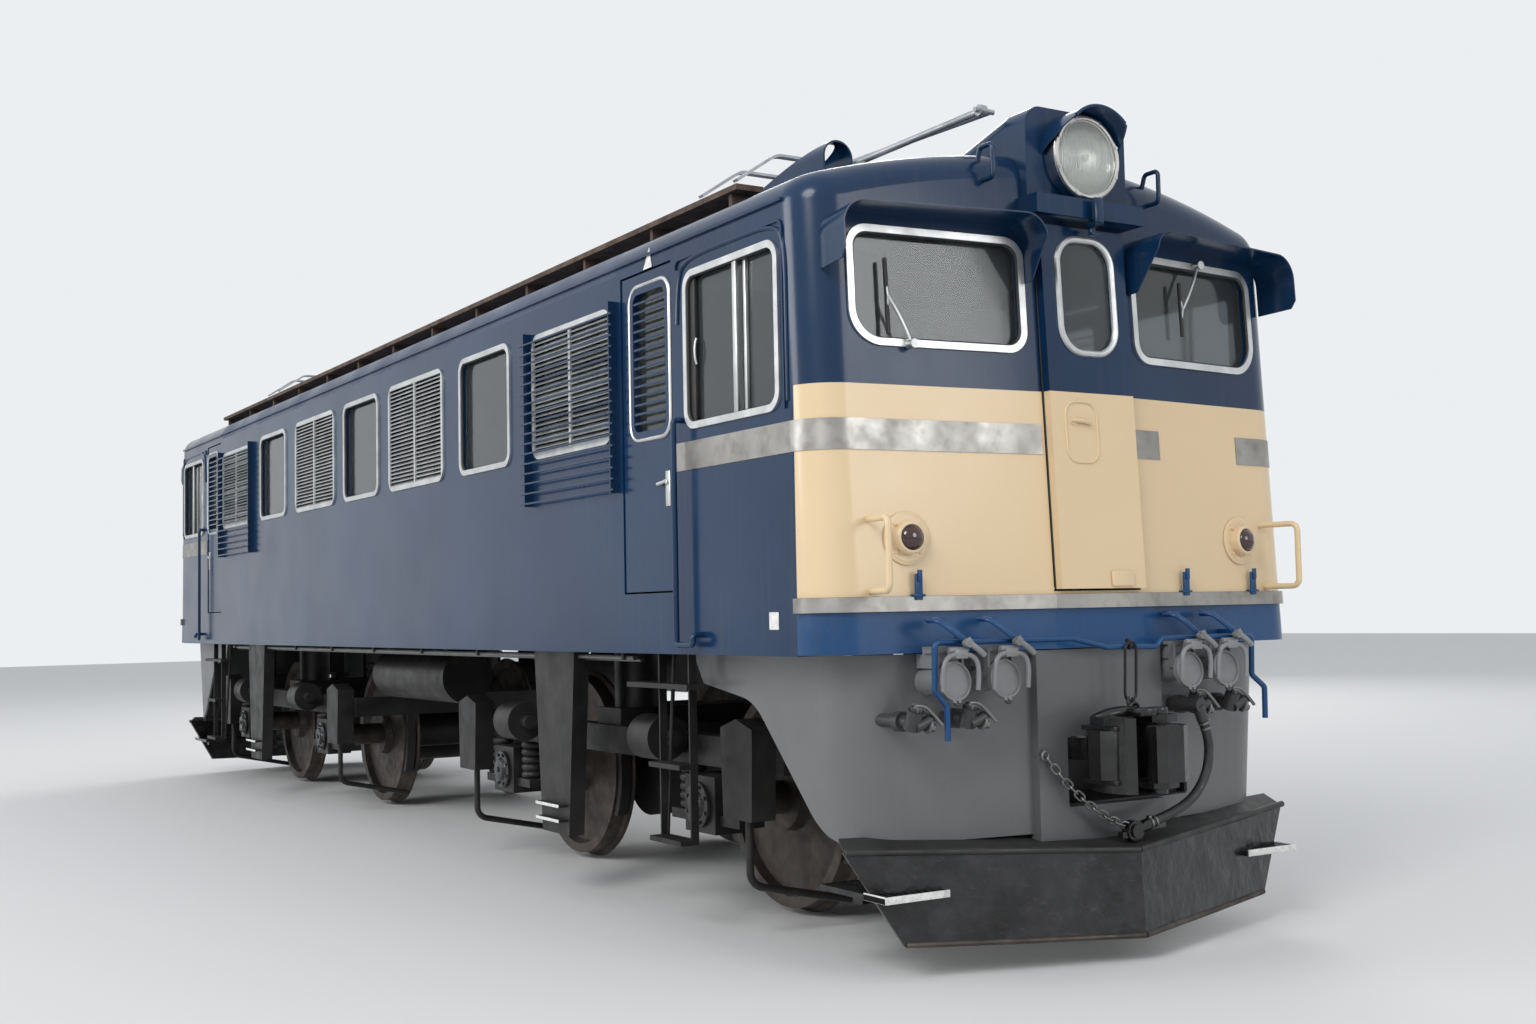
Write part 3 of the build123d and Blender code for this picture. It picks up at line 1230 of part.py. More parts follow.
# Bogies: frame with coil springs and axle boxes, motors, and brake and sand gear
with BuildPart() as coil_spring:
    with BuildSketch(Plane.XZ):
        with BuildLine():
            pitch = SPRING_TALL / SPRING_COILS
            base = -SPRING_TALL / 2
            for i in range(SPRING_COILS):
                ThreePointArc((SPRING_CORE, base + i * pitch),
                              (SPRING_RADIUS, base + (i + 0.5) * pitch),
                              (SPRING_CORE, base + (i + 1) * pitch))
            Polyline((SPRING_CORE, -base), (0, -base), (0, base), (SPRING_CORE, base))
        make_face()
    revolve(axis=Axis.Z)
for name, bx in BOGIES:
    with BuildPart() as bogie_frame:
        for label, side in NOSE_WINDOWS:
            with Locations((bx, side * SIDE_Y, (BEAM_LOW + BEAM_HIGH) / 2)):
                Box(2 * BOGIE_HALF, SIDE_WIDE, BEAM_HIGH - BEAM_LOW)
            with Locations((bx - AXLE_X, side * (BOX_IN + BOX_OUT) / 2, (BOX_LOW + BOX_HIGH) / 2),
                           (bx + AXLE_X, side * (BOX_IN + BOX_OUT) / 2, (BOX_LOW + BOX_HIGH) / 2)):
                Box(BOX_WIDE, BOX_OUT - BOX_IN, BOX_HIGH - BOX_LOW)
                with Locations((0, 0, -(BOX_HIGH - BOX_LOW) / 2 + 70)):
                    Box(2 * (WING + 110), 2 * SPRING_RADIUS, 50)
            springs = [(bx + e * AXLE_X + w * WING, side * (BOX_IN + BOX_OUT) / 2,
                        (SPRING_SEAT + BEAM_LOW) / 2) for e in (-1, 1) for w in (-1, 1)]
            for x, y, level in springs:
                add(coil_spring.part.moved(Location((x, y, level))))
            with Locations((bx, side * BEARER_Y, (BOLSTER_HIGH + SILL_Z - BODY_GAP) / 2)):
                Cylinder(BEARER_RADIUS, SILL_Z - BODY_GAP - BOLSTER_HIGH)
        for x in (-TRANSOM_X, TRANSOM_X):
            with Locations((bx + x, 0, (BEAM_LOW + BEAM_HIGH) / 2)):
                Box(TRANSOM, 2 * SIDE_Y, BEAM_HIGH - BEAM_LOW)
        with Locations((bx, 0, (BEAM_LOW + BOLSTER_HIGH) / 2)):
            Box(2 * BOLSTER_HALF, 2 * SIDE_Y, BOLSTER_HIGH - BEAM_LOW)
        with Locations((bx - TRANSOM_X / 2, 0, BEAM_LOW + 60), (bx + TRANSOM_X / 2, 0, BEAM_LOW + 60)):
            Box(TRANSOM_X, 800, 60)
        for x in (-BOGIE_HALF + END_BEAM / 2, BOGIE_HALF - END_BEAM / 2):
            with Locations((bx + x, 0, (BEAM_LOW + BEAM_HIGH) / 2)):
                Box(END_BEAM, 2 * SIDE_Y, BEAM_HIGH - BEAM_LOW)
        with Locations((bx, 0, BEAM_LOW + 200)):
            Cylinder(PIN_RADIUS + PIN_GAP, 600, mode=Mode.SUBTRACT)
        for x in (-AXLE_X, AXLE_X):
            with Locations(Location((bx + x, 0, AXLE_Z), (90, 0, 0))):
                Cylinder(JOURNAL_RADIUS + JOURNAL_FIT, 2 * (JOURNAL_END + 6), mode=Mode.SUBTRACT)
    bogie_frame.part.label = "bogie_" + name + "_frame"
    export_step(bogie_frame.part, "parts/bogie_" + name + "_frame.step")

    with BuildPart() as bogie_motors:
        for end in (-1, 1):
            with Locations(Location((bx + end * MOTOR_X, 0, MOTOR_Z), (90, 0, 0))):
                Cylinder(MOTOR_RADIUS, 2 * MOTOR_HALF)
            with Locations((bx + end * (MOTOR_X + AXLE_X) / 2, 0, AXLE_Z)):
                Box(AXLE_X - MOTOR_X, 2 * TUBE_HALF, 2 * TUBE_RADIUS)
            with Locations(Location((bx + end * AXLE_X, 0, AXLE_Z), (90, 0, 0))):
                Cylinder(TUBE_RADIUS, 2 * TUBE_HALF)
            with Locations((bx + end * (MOTOR_X - MOTOR_RADIUS - 50), 0, BEAM_LOW - 65)):
                Box(200, 300, 130)
        for end in (-1, 1):
            with Locations(Location((bx + end * AXLE_X, 0, AXLE_Z), (90, 0, 0))):
                Cylinder(AXLE_RADIUS + TURN_GAP, 1000, mode=Mode.SUBTRACT)

    with BuildPart() as bogie_brakes:
        for label, side in NOSE_WINDOWS:
            for end in (-1, 1):
                with Locations(Location((bx + end * CYLINDER_X, side * CYLINDER_Y, CYLINDER_Z),
                                        (0, 90, 0))):
                    Cylinder(CYLINDER_RADIUS, CYLINDER_LENGTH)
                    with Locations((0, 0, 150)):
                        Cylinder(40, 90)
                with Locations((bx + end * CYLINDER_X, side * (BEAM_OUT + 40), CYLINDER_Z)):
                    Box(180, 80, 160)
                with BuildSketch(Plane(origin=(bx + end * SAND_X, side * BEAM_OUT, 0),
                                       x_dir=(1, 0, 0), z_dir=(0, -1, 0))):
                    with BuildLine():
                        Polyline(*SAND_PLAN, close=True)
                    make_face()
                extrude(amount=-side * SAND_DEPTH)
                pipe_x = bx + end * SAND_X
                pipe_y = side * (BEAM_OUT + SAND_DEPTH / 2)
                add(bent_tube([(pipe_x, pipe_y, 580), (pipe_x, pipe_y, 250),
                               (pipe_x + end * 15, side * 560, 130)], 80, SAND_PIPE))
                for away in (-1, 1):
                    wheel_x = bx + end * AXLE_X
                    reach = TREAD_RADIUS + SHOE_GAP
                    with BuildSketch(Plane.XZ.offset(-side * SHOE_Y)):
                        with Locations((wheel_x, AXLE_Z)):
                            Circle(reach + SHOE_THICK)
                            Circle(reach, mode=Mode.SUBTRACT)
                        with Locations((wheel_x + away * 550, AXLE_Z - 80)):
                            Rectangle(200, 400, mode=Mode.INTERSECT)
                    extrude(amount=SHOE_HALF, both=True)
                    hang_x = wheel_x + away * (reach + 30)
                    with Locations((hang_x, side * SHOE_Y, (HANGER_Z + HANGER_LOW) / 2)):
                        Box(HANGER, 2 * SHOE_HALF, HANGER_Z - HANGER_LOW)
                    with Locations((hang_x, side * (SHOE_Y - SHOE_HALF + BEAM_IN_Y) / 2, HANGER_Z)):
                        Box(HANGER, BEAM_IN_Y - SHOE_Y + SHOE_HALF, HANGER)
    with BuildPart() as bogie_gear:
        add(bogie_motors.part)
        add(bogie_brakes.part)
    bogie_gear.part.label = "bogie_" + name + "_gear"
    export_step(bogie_gear.part, "parts/bogie_" + name + "_gear.step")

# Wheelsets: two disc wheels pressed on a stepped axle
with BuildPart() as wheelset:
    with BuildSketch(Plane.XY):
        with BuildLine():
            Polyline((0, 0), (AXLE_RADIUS, 0), (AXLE_RADIUS, WHEEL_IN - 20), (160, WHEEL_IN - 20),
                     (175, WHEEL_IN + 20), (TREAD_RADIUS - 75, WHEEL_IN + 35),
                     (TREAD_RADIUS - 60, WHEEL_IN), (TREAD_RADIUS + FLANGE_HEIGHT - 6, WHEEL_IN),
                     (TREAD_RADIUS + FLANGE_HEIGHT, WHEEL_IN + 10),
                     (TREAD_RADIUS + FLANGE_HEIGHT - 6, WHEEL_IN + 24),
                     (TREAD_RADIUS + 2, WHEEL_IN + 38), (TREAD_RADIUS - 4, WHEEL_OUT),
                     (TREAD_RADIUS - 60, WHEEL_OUT), (TREAD_RADIUS - 75, WHEEL_IN + 75),
                     (175, WHEEL_IN + 90), (160, WHEEL_OUT + 20), (AXLE_RADIUS, WHEEL_OUT + 20),
                     (AXLE_RADIUS, BOX_IN - 40), (JOURNAL_RADIUS, BOX_IN - 20),
                     (JOURNAL_RADIUS, JOURNAL_END), (0, JOURNAL_END), close=True)
        make_face()
    revolve(axis=Axis.Y)
    mirror(about=Plane.XZ)
for name, x in AXLES:
    with BuildPart() as placed_wheelset:
        with Locations((x, 0, AXLE_Z)):
            add(wheelset.part)
    placed_wheelset.part.label = name
    export_step(placed_wheelset.part, "parts/" + name + ".step")

# Pantographs: base on insulators, two crossed frames and a collector head
with BuildPart() as pantograph_bases:
    for name, cx in PANTOGRAPHS:
        for label, side in NOSE_WINDOWS:
            with Locations((cx, side * RAIL_Y, BASE_Z)):
                Box(2 * BASE_X + 80, RAIL_SECTION, RAIL_DEEP)
            for end in (-1, 1):
                with Locations(Location((cx + end * PAN_PIVOT, side * RAIL_Y, SHAFT_Z), (90, 0, 0))):
                    Cylinder(36, RAIL_SECTION)
                    Cylinder(TUBE + PAN_FIT, RAIL_SECTION + 10, mode=Mode.SUBTRACT)
                with Locations((cx + end * PAN_PIVOT, side * RAIL_Y, (BASE_Z + SHAFT_Z - TUBE) / 2)):
                    Box(50, RAIL_SECTION, SHAFT_Z - BASE_Z - TUBE - 6)
        for end in (-1, 1):
            with Locations((cx + end * BASE_X, 0, BASE_Z)):
                Box(RAIL_SECTION, 2 * RAIL_Y + RAIL_SECTION, RAIL_DEEP)
pantograph_bases.part.label = "pantograph_bases"
export_step(pantograph_bases.part, "parts/pantograph_bases.step")
with BuildPart() as insulators:
    for name, cx in PANTOGRAPHS:
        top = BASE_Z - RAIL_DEEP / 2 - INSULATOR_Z
        for x, y in INSULATORS:
            with BuildSketch(Plane(origin=(cx + x, y, INSULATOR_Z), x_dir=(1, 0, 0),
                                   z_dir=(0, -1, 0))):
                with BuildLine():
                    Polyline((0, 0), (42, 0), (42, 84), (70, 94), (42, 112), (66, 122), (42, 140),
                             (62, 150), (36, top), (0, top), close=True)
                make_face()
            revolve(axis=Axis((cx + x, y, INSULATOR_Z), (0, 0, 1)))
    add(roof_outline(0, 0).moved(Location((-ROOF_END_X, 0, 0))))
    extrude(amount=2 * ROOF_END_X, dir=(1, 0, 0), mode=Mode.SUBTRACT)
insulators.part.label = "insulators"
export_step(insulators.part, "parts/insulators.step")
for name, cx in PANTOGRAPHS:
    for part_name, end in (("lead", 1), ("trail", -1)):
        shaft_x = cx + end * PAN_PIVOT
        knee_x = shaft_x + end * ARM_RUN
        with BuildPart() as lower:
            add(tube((shaft_x, -SHAFT_HALF, SHAFT_Z), (shaft_x, SHAFT_HALF, SHAFT_Z), TUBE))
            for side in (-1, 1):
                add(tube((shaft_x, side * SHAFT_Y, SHAFT_Z), (knee_x, side * KNEE_Y, KNEE_Z), TUBE))
                with Locations(Location((knee_x, side * KNEE_Y, KNEE_Z), (90, 0, 0))):
                    Cylinder(KNEE_EYE, 36)
                    Cylinder(KNEE_PIN + PAN_FIT, 40, mode=Mode.SUBTRACT)
        lower.part.label = "pantograph_" + name + "_lower_" + part_name
        export_step(lower.part, "parts/" + lower.part.label + ".step")
        top_x = cx + end * PAN_PIVOT
        with BuildPart() as upper:
            for side in (-1, 1):
                add(tube((knee_x, side * UPPER_Y, KNEE_Z), (top_x, side * HEAD_TUBE_Y, HEAD_Z),
                         TUBE - 3))
                add(tube((knee_x, side * (UPPER_Y - 20), KNEE_Z),
                         (knee_x, side * (KNEE_Y + 40), KNEE_Z), KNEE_PIN))
            add(tube((top_x, -HEAD_BAR_Y - 15, HEAD_Z), (top_x, HEAD_BAR_Y + 15, HEAD_Z), HEAD_PIN))
        upper.part.label = "pantograph_" + name + "_upper_" + part_name
        export_step(upper.part, "parts/" + upper.part.label + ".step")
    with BuildPart() as pan:
        for end in (-1, 1):
            with BuildLine():
                run = FilletPolyline((cx + end * PAN_PIVOT, -880, HEAD_Z - HORN_DROP),
                                     (cx + end * PAN_PIVOT, -640, HEAD_Z + SLIDER_RISE),
                                     (cx + end * PAN_PIVOT, 640, HEAD_Z + SLIDER_RISE),
                                     (cx + end * PAN_PIVOT, 880, HEAD_Z - HORN_DROP), radius=120)
            with BuildSketch(Plane(origin=run @ 0, x_dir=(1, 0, 0), z_dir=run % 0)):
                Rectangle(SLIDER_WIDE, SLIDER_THICK)
            sweep(path=run)
        for side in (-1, 1):
            with Locations((cx, side * HEAD_BAR_Y, HEAD_Z)):
                Box(2 * PAN_PIVOT + 80, 20, 40)
        for end in (-1, 1):
            with Locations(Location((cx + end * PAN_PIVOT, 0, HEAD_Z), (90, 0, 0))):
                Cylinder(HEAD_PIN + PAN_FIT, 2 * HEAD_BAR_Y + 40, mode=Mode.SUBTRACT)
    pan.part.label = "pantograph_" + name + "_head"
    export_step(pan.part, "parts/" + pan.part.label + ".step")

# Fittings on the buffer beams: jumper sockets with lids, and angle cocks
with BuildPart() as fitting:
    for y in SOCKETS:
        with Locations(Location((SOCKET_X, y, SOCKET_Z), (0, LID_TILT, 0))):
            Cylinder(SOCKET_RADIUS, LID_THICK)
            with Locations((0, 0, LID_THICK / 2)):
                Cylinder(SOCKET_RADIUS - LID_RIM, 16, mode=Mode.SUBTRACT)
        with Locations(Location((SOCKET_X - 100, y, SOCKET_Z + 8), (0, LID_TILT, 0))):
            Cylinder(SOCKET_RADIUS - 22, 200)
        with Locations((BLOCK_X, y, BLOCK_Z)):
            Box(150, 110, 90)
        with Locations((BLOCK_X + 70, y - ARM_OUT, BLOCK_Z - 25),
                       (BLOCK_X + 70, y + ARM_OUT, BLOCK_Z - 25)):
            Box(34, ARM_THICK, 120)
        with Locations((BLOCK_X + 40, y, BLOCK_Z + 27)):
            Box(94, 2 * ARM_OUT + ARM_THICK, 14)
    for y in COCKS:
        with Locations(Location((5990, y, COCK_Z), (0, 90, 0))):
            Cylinder(COCK_RADIUS - 6, 380)
        with Locations(Location((6080, y, COCK_Z), (0, 90, 0))):
            Cylinder(COCK_RADIUS + 8, 40)
        with Locations(Location((6168, y, COCK_Z + 10), (0, 25, 0))):
            Cylinder(COCK_RADIUS, 84)
            with Locations((0, 0, 50)):
                Cylinder(COCK_RADIUS - 8, 20)
        with Locations(Location((6182, y + 34, COCK_Z - 8), (-70, 0, 0))):
            Cylinder(COCK_RADIUS - 10, 76)
            with Locations((0, 0, 42)):
                Cylinder(12, 20)
        with Locations(Location((6176, y + 62, COCK_Z + 30), (-28, 0, 0))):
            Box(16, 130, 9)

# Brake hose: it hangs from a nipple under one cock, and a coupling head hangs on its free end
route = [Vector(HOSE_X, y, z) for y, z in HOSE_RUN]
bends = []
for before, here, after in zip(route, route[1:], route[2:]):
    turn = (here - before).get_angle(after - here)
    shorter = min((here - before).length, (after - here).length)
    bends.append(0.45 * shorter / math.tan(math.radians(turn) / 2))
print("hose bend radii", [round(bend) for bend in bends])
with BuildPart() as brake_hose:
    with BuildLine():
        hose_line = FilletPolyline(*route, radius=bends)
    with BuildSketch(Plane(origin=hose_line @ 0, z_dir=hose_line % 0)):
        Circle(HOSE_RADIUS)
    sweep(path=hose_line)
brake_hose.part.label = "brake_hose"
export_step(brake_hose.part, "parts/brake_hose.step")
with BuildPart() as gladhand:
    with BuildSketch(Plane(origin=hose_line @ 1, z_dir=hose_line % 1)):
        Circle(GLAND_RADIUS)
    extrude(amount=GLAND_LENGTH)
    middle = route[-1] + (route[-1] - route[-2]).normalized() * (GLAND_LENGTH + HEAD_DISC - 14)
    with Locations(Location(middle, (0, 90, 0))):
        Cylinder(HEAD_DISC, 44)
        Cylinder(HEAD_DISC - 16, 64)
    with Locations(middle + Vector(0, -40, -14)):
        Box(30, 70, 26)
gladhand.part.label = "gladhand"
export_step(gladhand.part, "parts/gladhand.step")
leave = (route[0] - route[1]).normalized()
with BuildPart() as nipple:
    with BuildSketch(Plane(origin=route[0], z_dir=leave)):
        Circle(NIPPLE_RADIUS)
    extrude(amount=NIPPLE)
    with Locations(Location((6140, route[0].Y + leave.Y * NIPPLE, COCK_Z), (0, 90, 0))):
        Cylinder(NIPPLE_RADIUS + 6, 2 * (HOSE_X - 6140) + 40)
with BuildPart() as end_fitting:
    add(fitting.part)
    add(nipple.part)
    add(skirt_form.part, mode=Mode.SUBTRACT)
    with Locations((SKIRT_PANEL_X / 2, 0, (SKIRT_CENTRE_LOW + SKIRT_TOP) / 2)):
        Box(SKIRT_PANEL_X + 2 * SKIRT_CENTRE_PROUD, 2 * SKIRT_CENTRE_HALF,
            SKIRT_TOP - SKIRT_CENTRE_LOW, mode=Mode.SUBTRACT)
    add(leaning(end_outline(0, CORNER_X - 300), SKIRT_TOP, STRIP_BOTTOM), mode=Mode.SUBTRACT)
with BuildPart() as end_fittings:
    for head, turn in HEADS:
        add(end_fitting.part.rotate(Axis.Z, turn))
end_fittings.part.label = "end_fittings"
export_step(end_fittings.part, "parts/end_fittings.step")

# Bent tubes outside: handrails on the noses and by the crew doors, roof grabs, coupling levers
with BuildPart() as coupling_lever:
    add(bent_tube([(LEVER_X, y, z) for y, z in LEVER_RUN], 25, LEVER_RADIUS))
    for y in LEVER_BRACKETS:
        with Locations(((LEVER_X + LEVER_ROOT_X) / 2, y, 1385)):
            Box(LEVER_X - LEVER_ROOT_X, 2 * LEVER_RADIUS, 44)
    add(leaning(end_outline(0, CORNER_X - 300), SKIRT_TOP, STRIP_BOTTOM), mode=Mode.SUBTRACT)
with BuildPart() as roof_grab:
    for side in (-1, 1):
        y = side * GRAB_Y
        add(bent_tube([(5940, y, 3470), (5975, y, 3572), (6062, y, 3572), (6062, y, 3420),
                       (5900, y, 3420)], 25, RAIL_RADIUS - 3))
    add(dome_shape, mode=Mode.SUBTRACT)
with BuildPart() as handrail_set:
    for label, side in NOSE_WINDOWS:
        add(bent_tube([(5960, side * 1165, 1905), (6195, side * 1210, 1905),
                       (6195, side * 1210, 1605), (5960, side * 1165, 1605)], 35, RAIL_RADIUS))
    add(leaning(end_outline(0, CORNER_X), STRIP_TOP, EAVES_Z), mode=Mode.SUBTRACT)
    for side_name, side in SIDES:
        face = side * BODY_HALF_WIDTH
        stand = side * (BODY_HALF_WIDTH + RAIL_OUT)
        add(bent_tube([(4833, face, 2437), (4833, stand, 2437), (4833, stand, 1385),
                       (4990, stand, 1385), (4990, stand, 1431), (4990, face, 1431)],
                      18, RAIL_RADIUS))
    add(coupling_lever.part)
    add(roof_grab.part)
with BuildPart() as handrails:
    for head, turn in HEADS:
        add(handrail_set.part.rotate(Axis.Z, turn))
handrails.part.label = "handrails"
export_step(handrails.part, "parts/handrails.step")

# Hanging steps below the crew doors
with BuildPart() as crew_steps:
    for end in (-1, 1):
        for side in (-1, 1):
            for x in (-LADDER_HALF, LADDER_HALF):
                with Locations((end * LADDER_X + x, side * POST_BAR_Y, (STEP_RUNGS[0] + SILL_Z) / 2)):
                    Box(POST_BAR, POST_BAR_DEEP, SILL_Z - STEP_RUNGS[0])
            for z in STEP_RUNGS:
                with Locations((end * LADDER_X, side * RUNG_Y, z)):
                    Box(2 * LADDER_HALF + POST_BAR, RUNG_REACH, RUNG_SHEET)
            with Locations((end * (LADDER_X - 70), side * RUNG_Y, STEP_RUNGS[-1])):
                Box(TOP_STEP, RUNG_REACH, RUNG_SHEET)
            stay_x = end * (LADDER_X - LADDER_HALF)
            stay_lean = (STAY_FOOT_Y - STAY_TOP_Y) / (SILL_Z - STEP_RUNGS[0])
            add(tube((stay_x, side * STAY_FOOT_Y, STEP_RUNGS[0]),
                     (stay_x, side * STAY_TOP_Y, SILL_Z - STAY_RADIUS * stay_lean), STAY_RADIUS))
crew_steps.part.label = "crew_steps"
export_step(crew_steps.part, "parts/crew_steps.step")

# Underfloor gear between the bogies: two air tanks on straps
with BuildPart() as underfloor_gear:
    for side in (-1, 1):
        with Locations(Location((0, side * TANK_Y, TANK_Z), (0, 90, 0))):
            Cylinder(TANK_RADIUS, TANK_LENGTH)
        strap_z = (TANK_Z + TANK_RADIUS - 20 + FLOOR_Z - DECK_SHEET) / 2
        with Locations((-TANK_STRAP_X, side * TANK_Y, strap_z), (TANK_STRAP_X, side * TANK_Y, strap_z)):
            Box(60, 200, FLOOR_Z - DECK_SHEET - TANK_Z - TANK_RADIUS + 20)
underfloor_gear.part.label = "underfloor_gear"
export_step(underfloor_gear.part, "parts/underfloor_gear.step")
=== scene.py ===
import math
import bpy
from mathutils import Matrix, Vector


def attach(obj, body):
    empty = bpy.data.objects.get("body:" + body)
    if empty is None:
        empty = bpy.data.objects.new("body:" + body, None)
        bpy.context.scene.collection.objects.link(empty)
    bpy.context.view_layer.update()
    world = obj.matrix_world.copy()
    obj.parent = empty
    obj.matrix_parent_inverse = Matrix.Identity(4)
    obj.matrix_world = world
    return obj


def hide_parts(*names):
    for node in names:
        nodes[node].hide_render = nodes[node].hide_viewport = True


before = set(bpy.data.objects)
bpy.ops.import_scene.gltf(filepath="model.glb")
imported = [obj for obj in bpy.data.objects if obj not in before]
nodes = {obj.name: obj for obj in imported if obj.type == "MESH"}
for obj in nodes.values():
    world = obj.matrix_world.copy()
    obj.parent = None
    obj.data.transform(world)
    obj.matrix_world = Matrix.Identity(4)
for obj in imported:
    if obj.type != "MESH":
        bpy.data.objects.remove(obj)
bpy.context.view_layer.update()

# Camera: it stands low in front of the nose on the right-hand side, turned a little
# out of level, as the photograph was taken.
YAW = math.radians(148.39354804)
PITCH = math.radians(3.49929685)
ROLL = math.radians(-1.15760537)
LENS = 38.69
forward = Vector((math.cos(YAW) * math.cos(PITCH), math.sin(YAW) * math.cos(PITCH), math.sin(PITCH)))
level_right = Vector((math.sin(YAW), -math.cos(YAW), 0))
level_up = level_right.cross(forward)
right = level_right * math.cos(ROLL) + level_up * math.sin(ROLL)
up = level_up * math.cos(ROLL) - level_right * math.sin(ROLL)
bpy.ops.object.select_all(action="DESELECT")
bpy.ops.object.camera_add()
camera = bpy.context.object
camera.data.lens = LENS
camera.data.sensor_width = 36
camera.data.clip_end = 200
camera.matrix_world = Matrix((
    (right.x, up.x, -forward.x, 11.62566508),
    (right.y, up.y, -forward.y, -5.12202495),
    (right.z, up.z, -forward.z, 1.52474821),
    (0, 0, 0, 1),
))
bpy.context.scene.camera = camera

# Studio: a pale floor under the flanges, a soft white world and three wide lamps.
FLOOR_HALF = 60
bpy.ops.mesh.primitive_plane_add(size=2 * FLOOR_HALF, location=(0, 0, -0.004))
floor = bpy.context.object
floor.name = "studio_floor"
floor_paint = bpy.data.materials.new("studio_floor")
floor_paint.use_nodes = True
floor_shader = floor_paint.node_tree.nodes["Principled BSDF"]
floor_shader.inputs["Base Color"].default_value = (0.70, 0.70, 0.69, 1)
floor_shader.inputs["Roughness"].default_value = 0.75
floor.data.materials.append(floor_paint)

world = bpy.data.worlds.new("studio_world")
bpy.context.scene.world = world
world.use_nodes = True
tree = world.node_tree
background = tree.nodes["Background"]
coords = tree.nodes.new("ShaderNodeTexCoord")
split = tree.nodes.new("ShaderNodeSeparateXYZ")
ramp = tree.nodes.new("ShaderNodeValToRGB")
path = tree.nodes.new("ShaderNodeLightPath")
seen = tree.nodes.new("ShaderNodeMix")
seen.data_type = "RGBA"
ramp.color_ramp.elements[0].position = 0.46
ramp.color_ramp.elements[0].color = (0.16, 0.16, 0.17, 1)
ramp.color_ramp.elements[1].position = 0.62
ramp.color_ramp.elements[1].color = (0.62, 0.64, 0.68, 1)
scale = tree.nodes.new("ShaderNodeMapRange")
scale.inputs["From Min"].default_value = -1
tree.links.new(coords.outputs["Generated"], split.inputs[0])
tree.links.new(split.outputs["Z"], scale.inputs["Value"])
tree.links.new(scale.outputs[0], ramp.inputs[0])
shown = path.outputs["Is Camera Ray"]
for ray in ("Is Glossy Ray", "Is Transmission Ray"):
    total = tree.nodes.new("ShaderNodeMath")
    total.operation = "ADD"
    total.use_clamp = True
    tree.links.new(shown, total.inputs[0])
    tree.links.new(path.outputs[ray], total.inputs[1])
    shown = total.outputs[0]
tree.links.new(shown, seen.inputs["Factor"])
tree.links.new(ramp.outputs[0], seen.inputs["A"])
seen.inputs["B"].default_value = (0.84, 0.86, 0.88, 1)
tree.links.new(seen.outputs["Result"], background.inputs["Color"])
background.inputs["Strength"].default_value = 1.0
LAMPS = [  # name, place, aim, size, power
    ("key_lamp", (13, -15, 13), (2, 0, 1.5), 9, 1900),
    ("side_lamp", (-6, -20, 9), (-2, 0, 2), 10, 1500),
    ("nose_lamp", (20, 4, 6), (6, 0, 1.8), 6, 380),
    ("back_lamp", (-14, 14, 12), (-3, 0, 2), 10, 1300),
]
for name, place, aim, size, power in LAMPS:
    bpy.ops.object.light_add(type="AREA", location=place)
    lamp = bpy.context.object
    lamp.name = name
    lamp.data.shape = "DISK"
    lamp.data.size = size
    lamp.data.energy = power
    lamp.rotation_euler = (Vector(aim) - Vector(place)).to_track_quat("-Z", "Y").to_euler()
bpy.context.scene.view_settings.view_transform = "Standard"


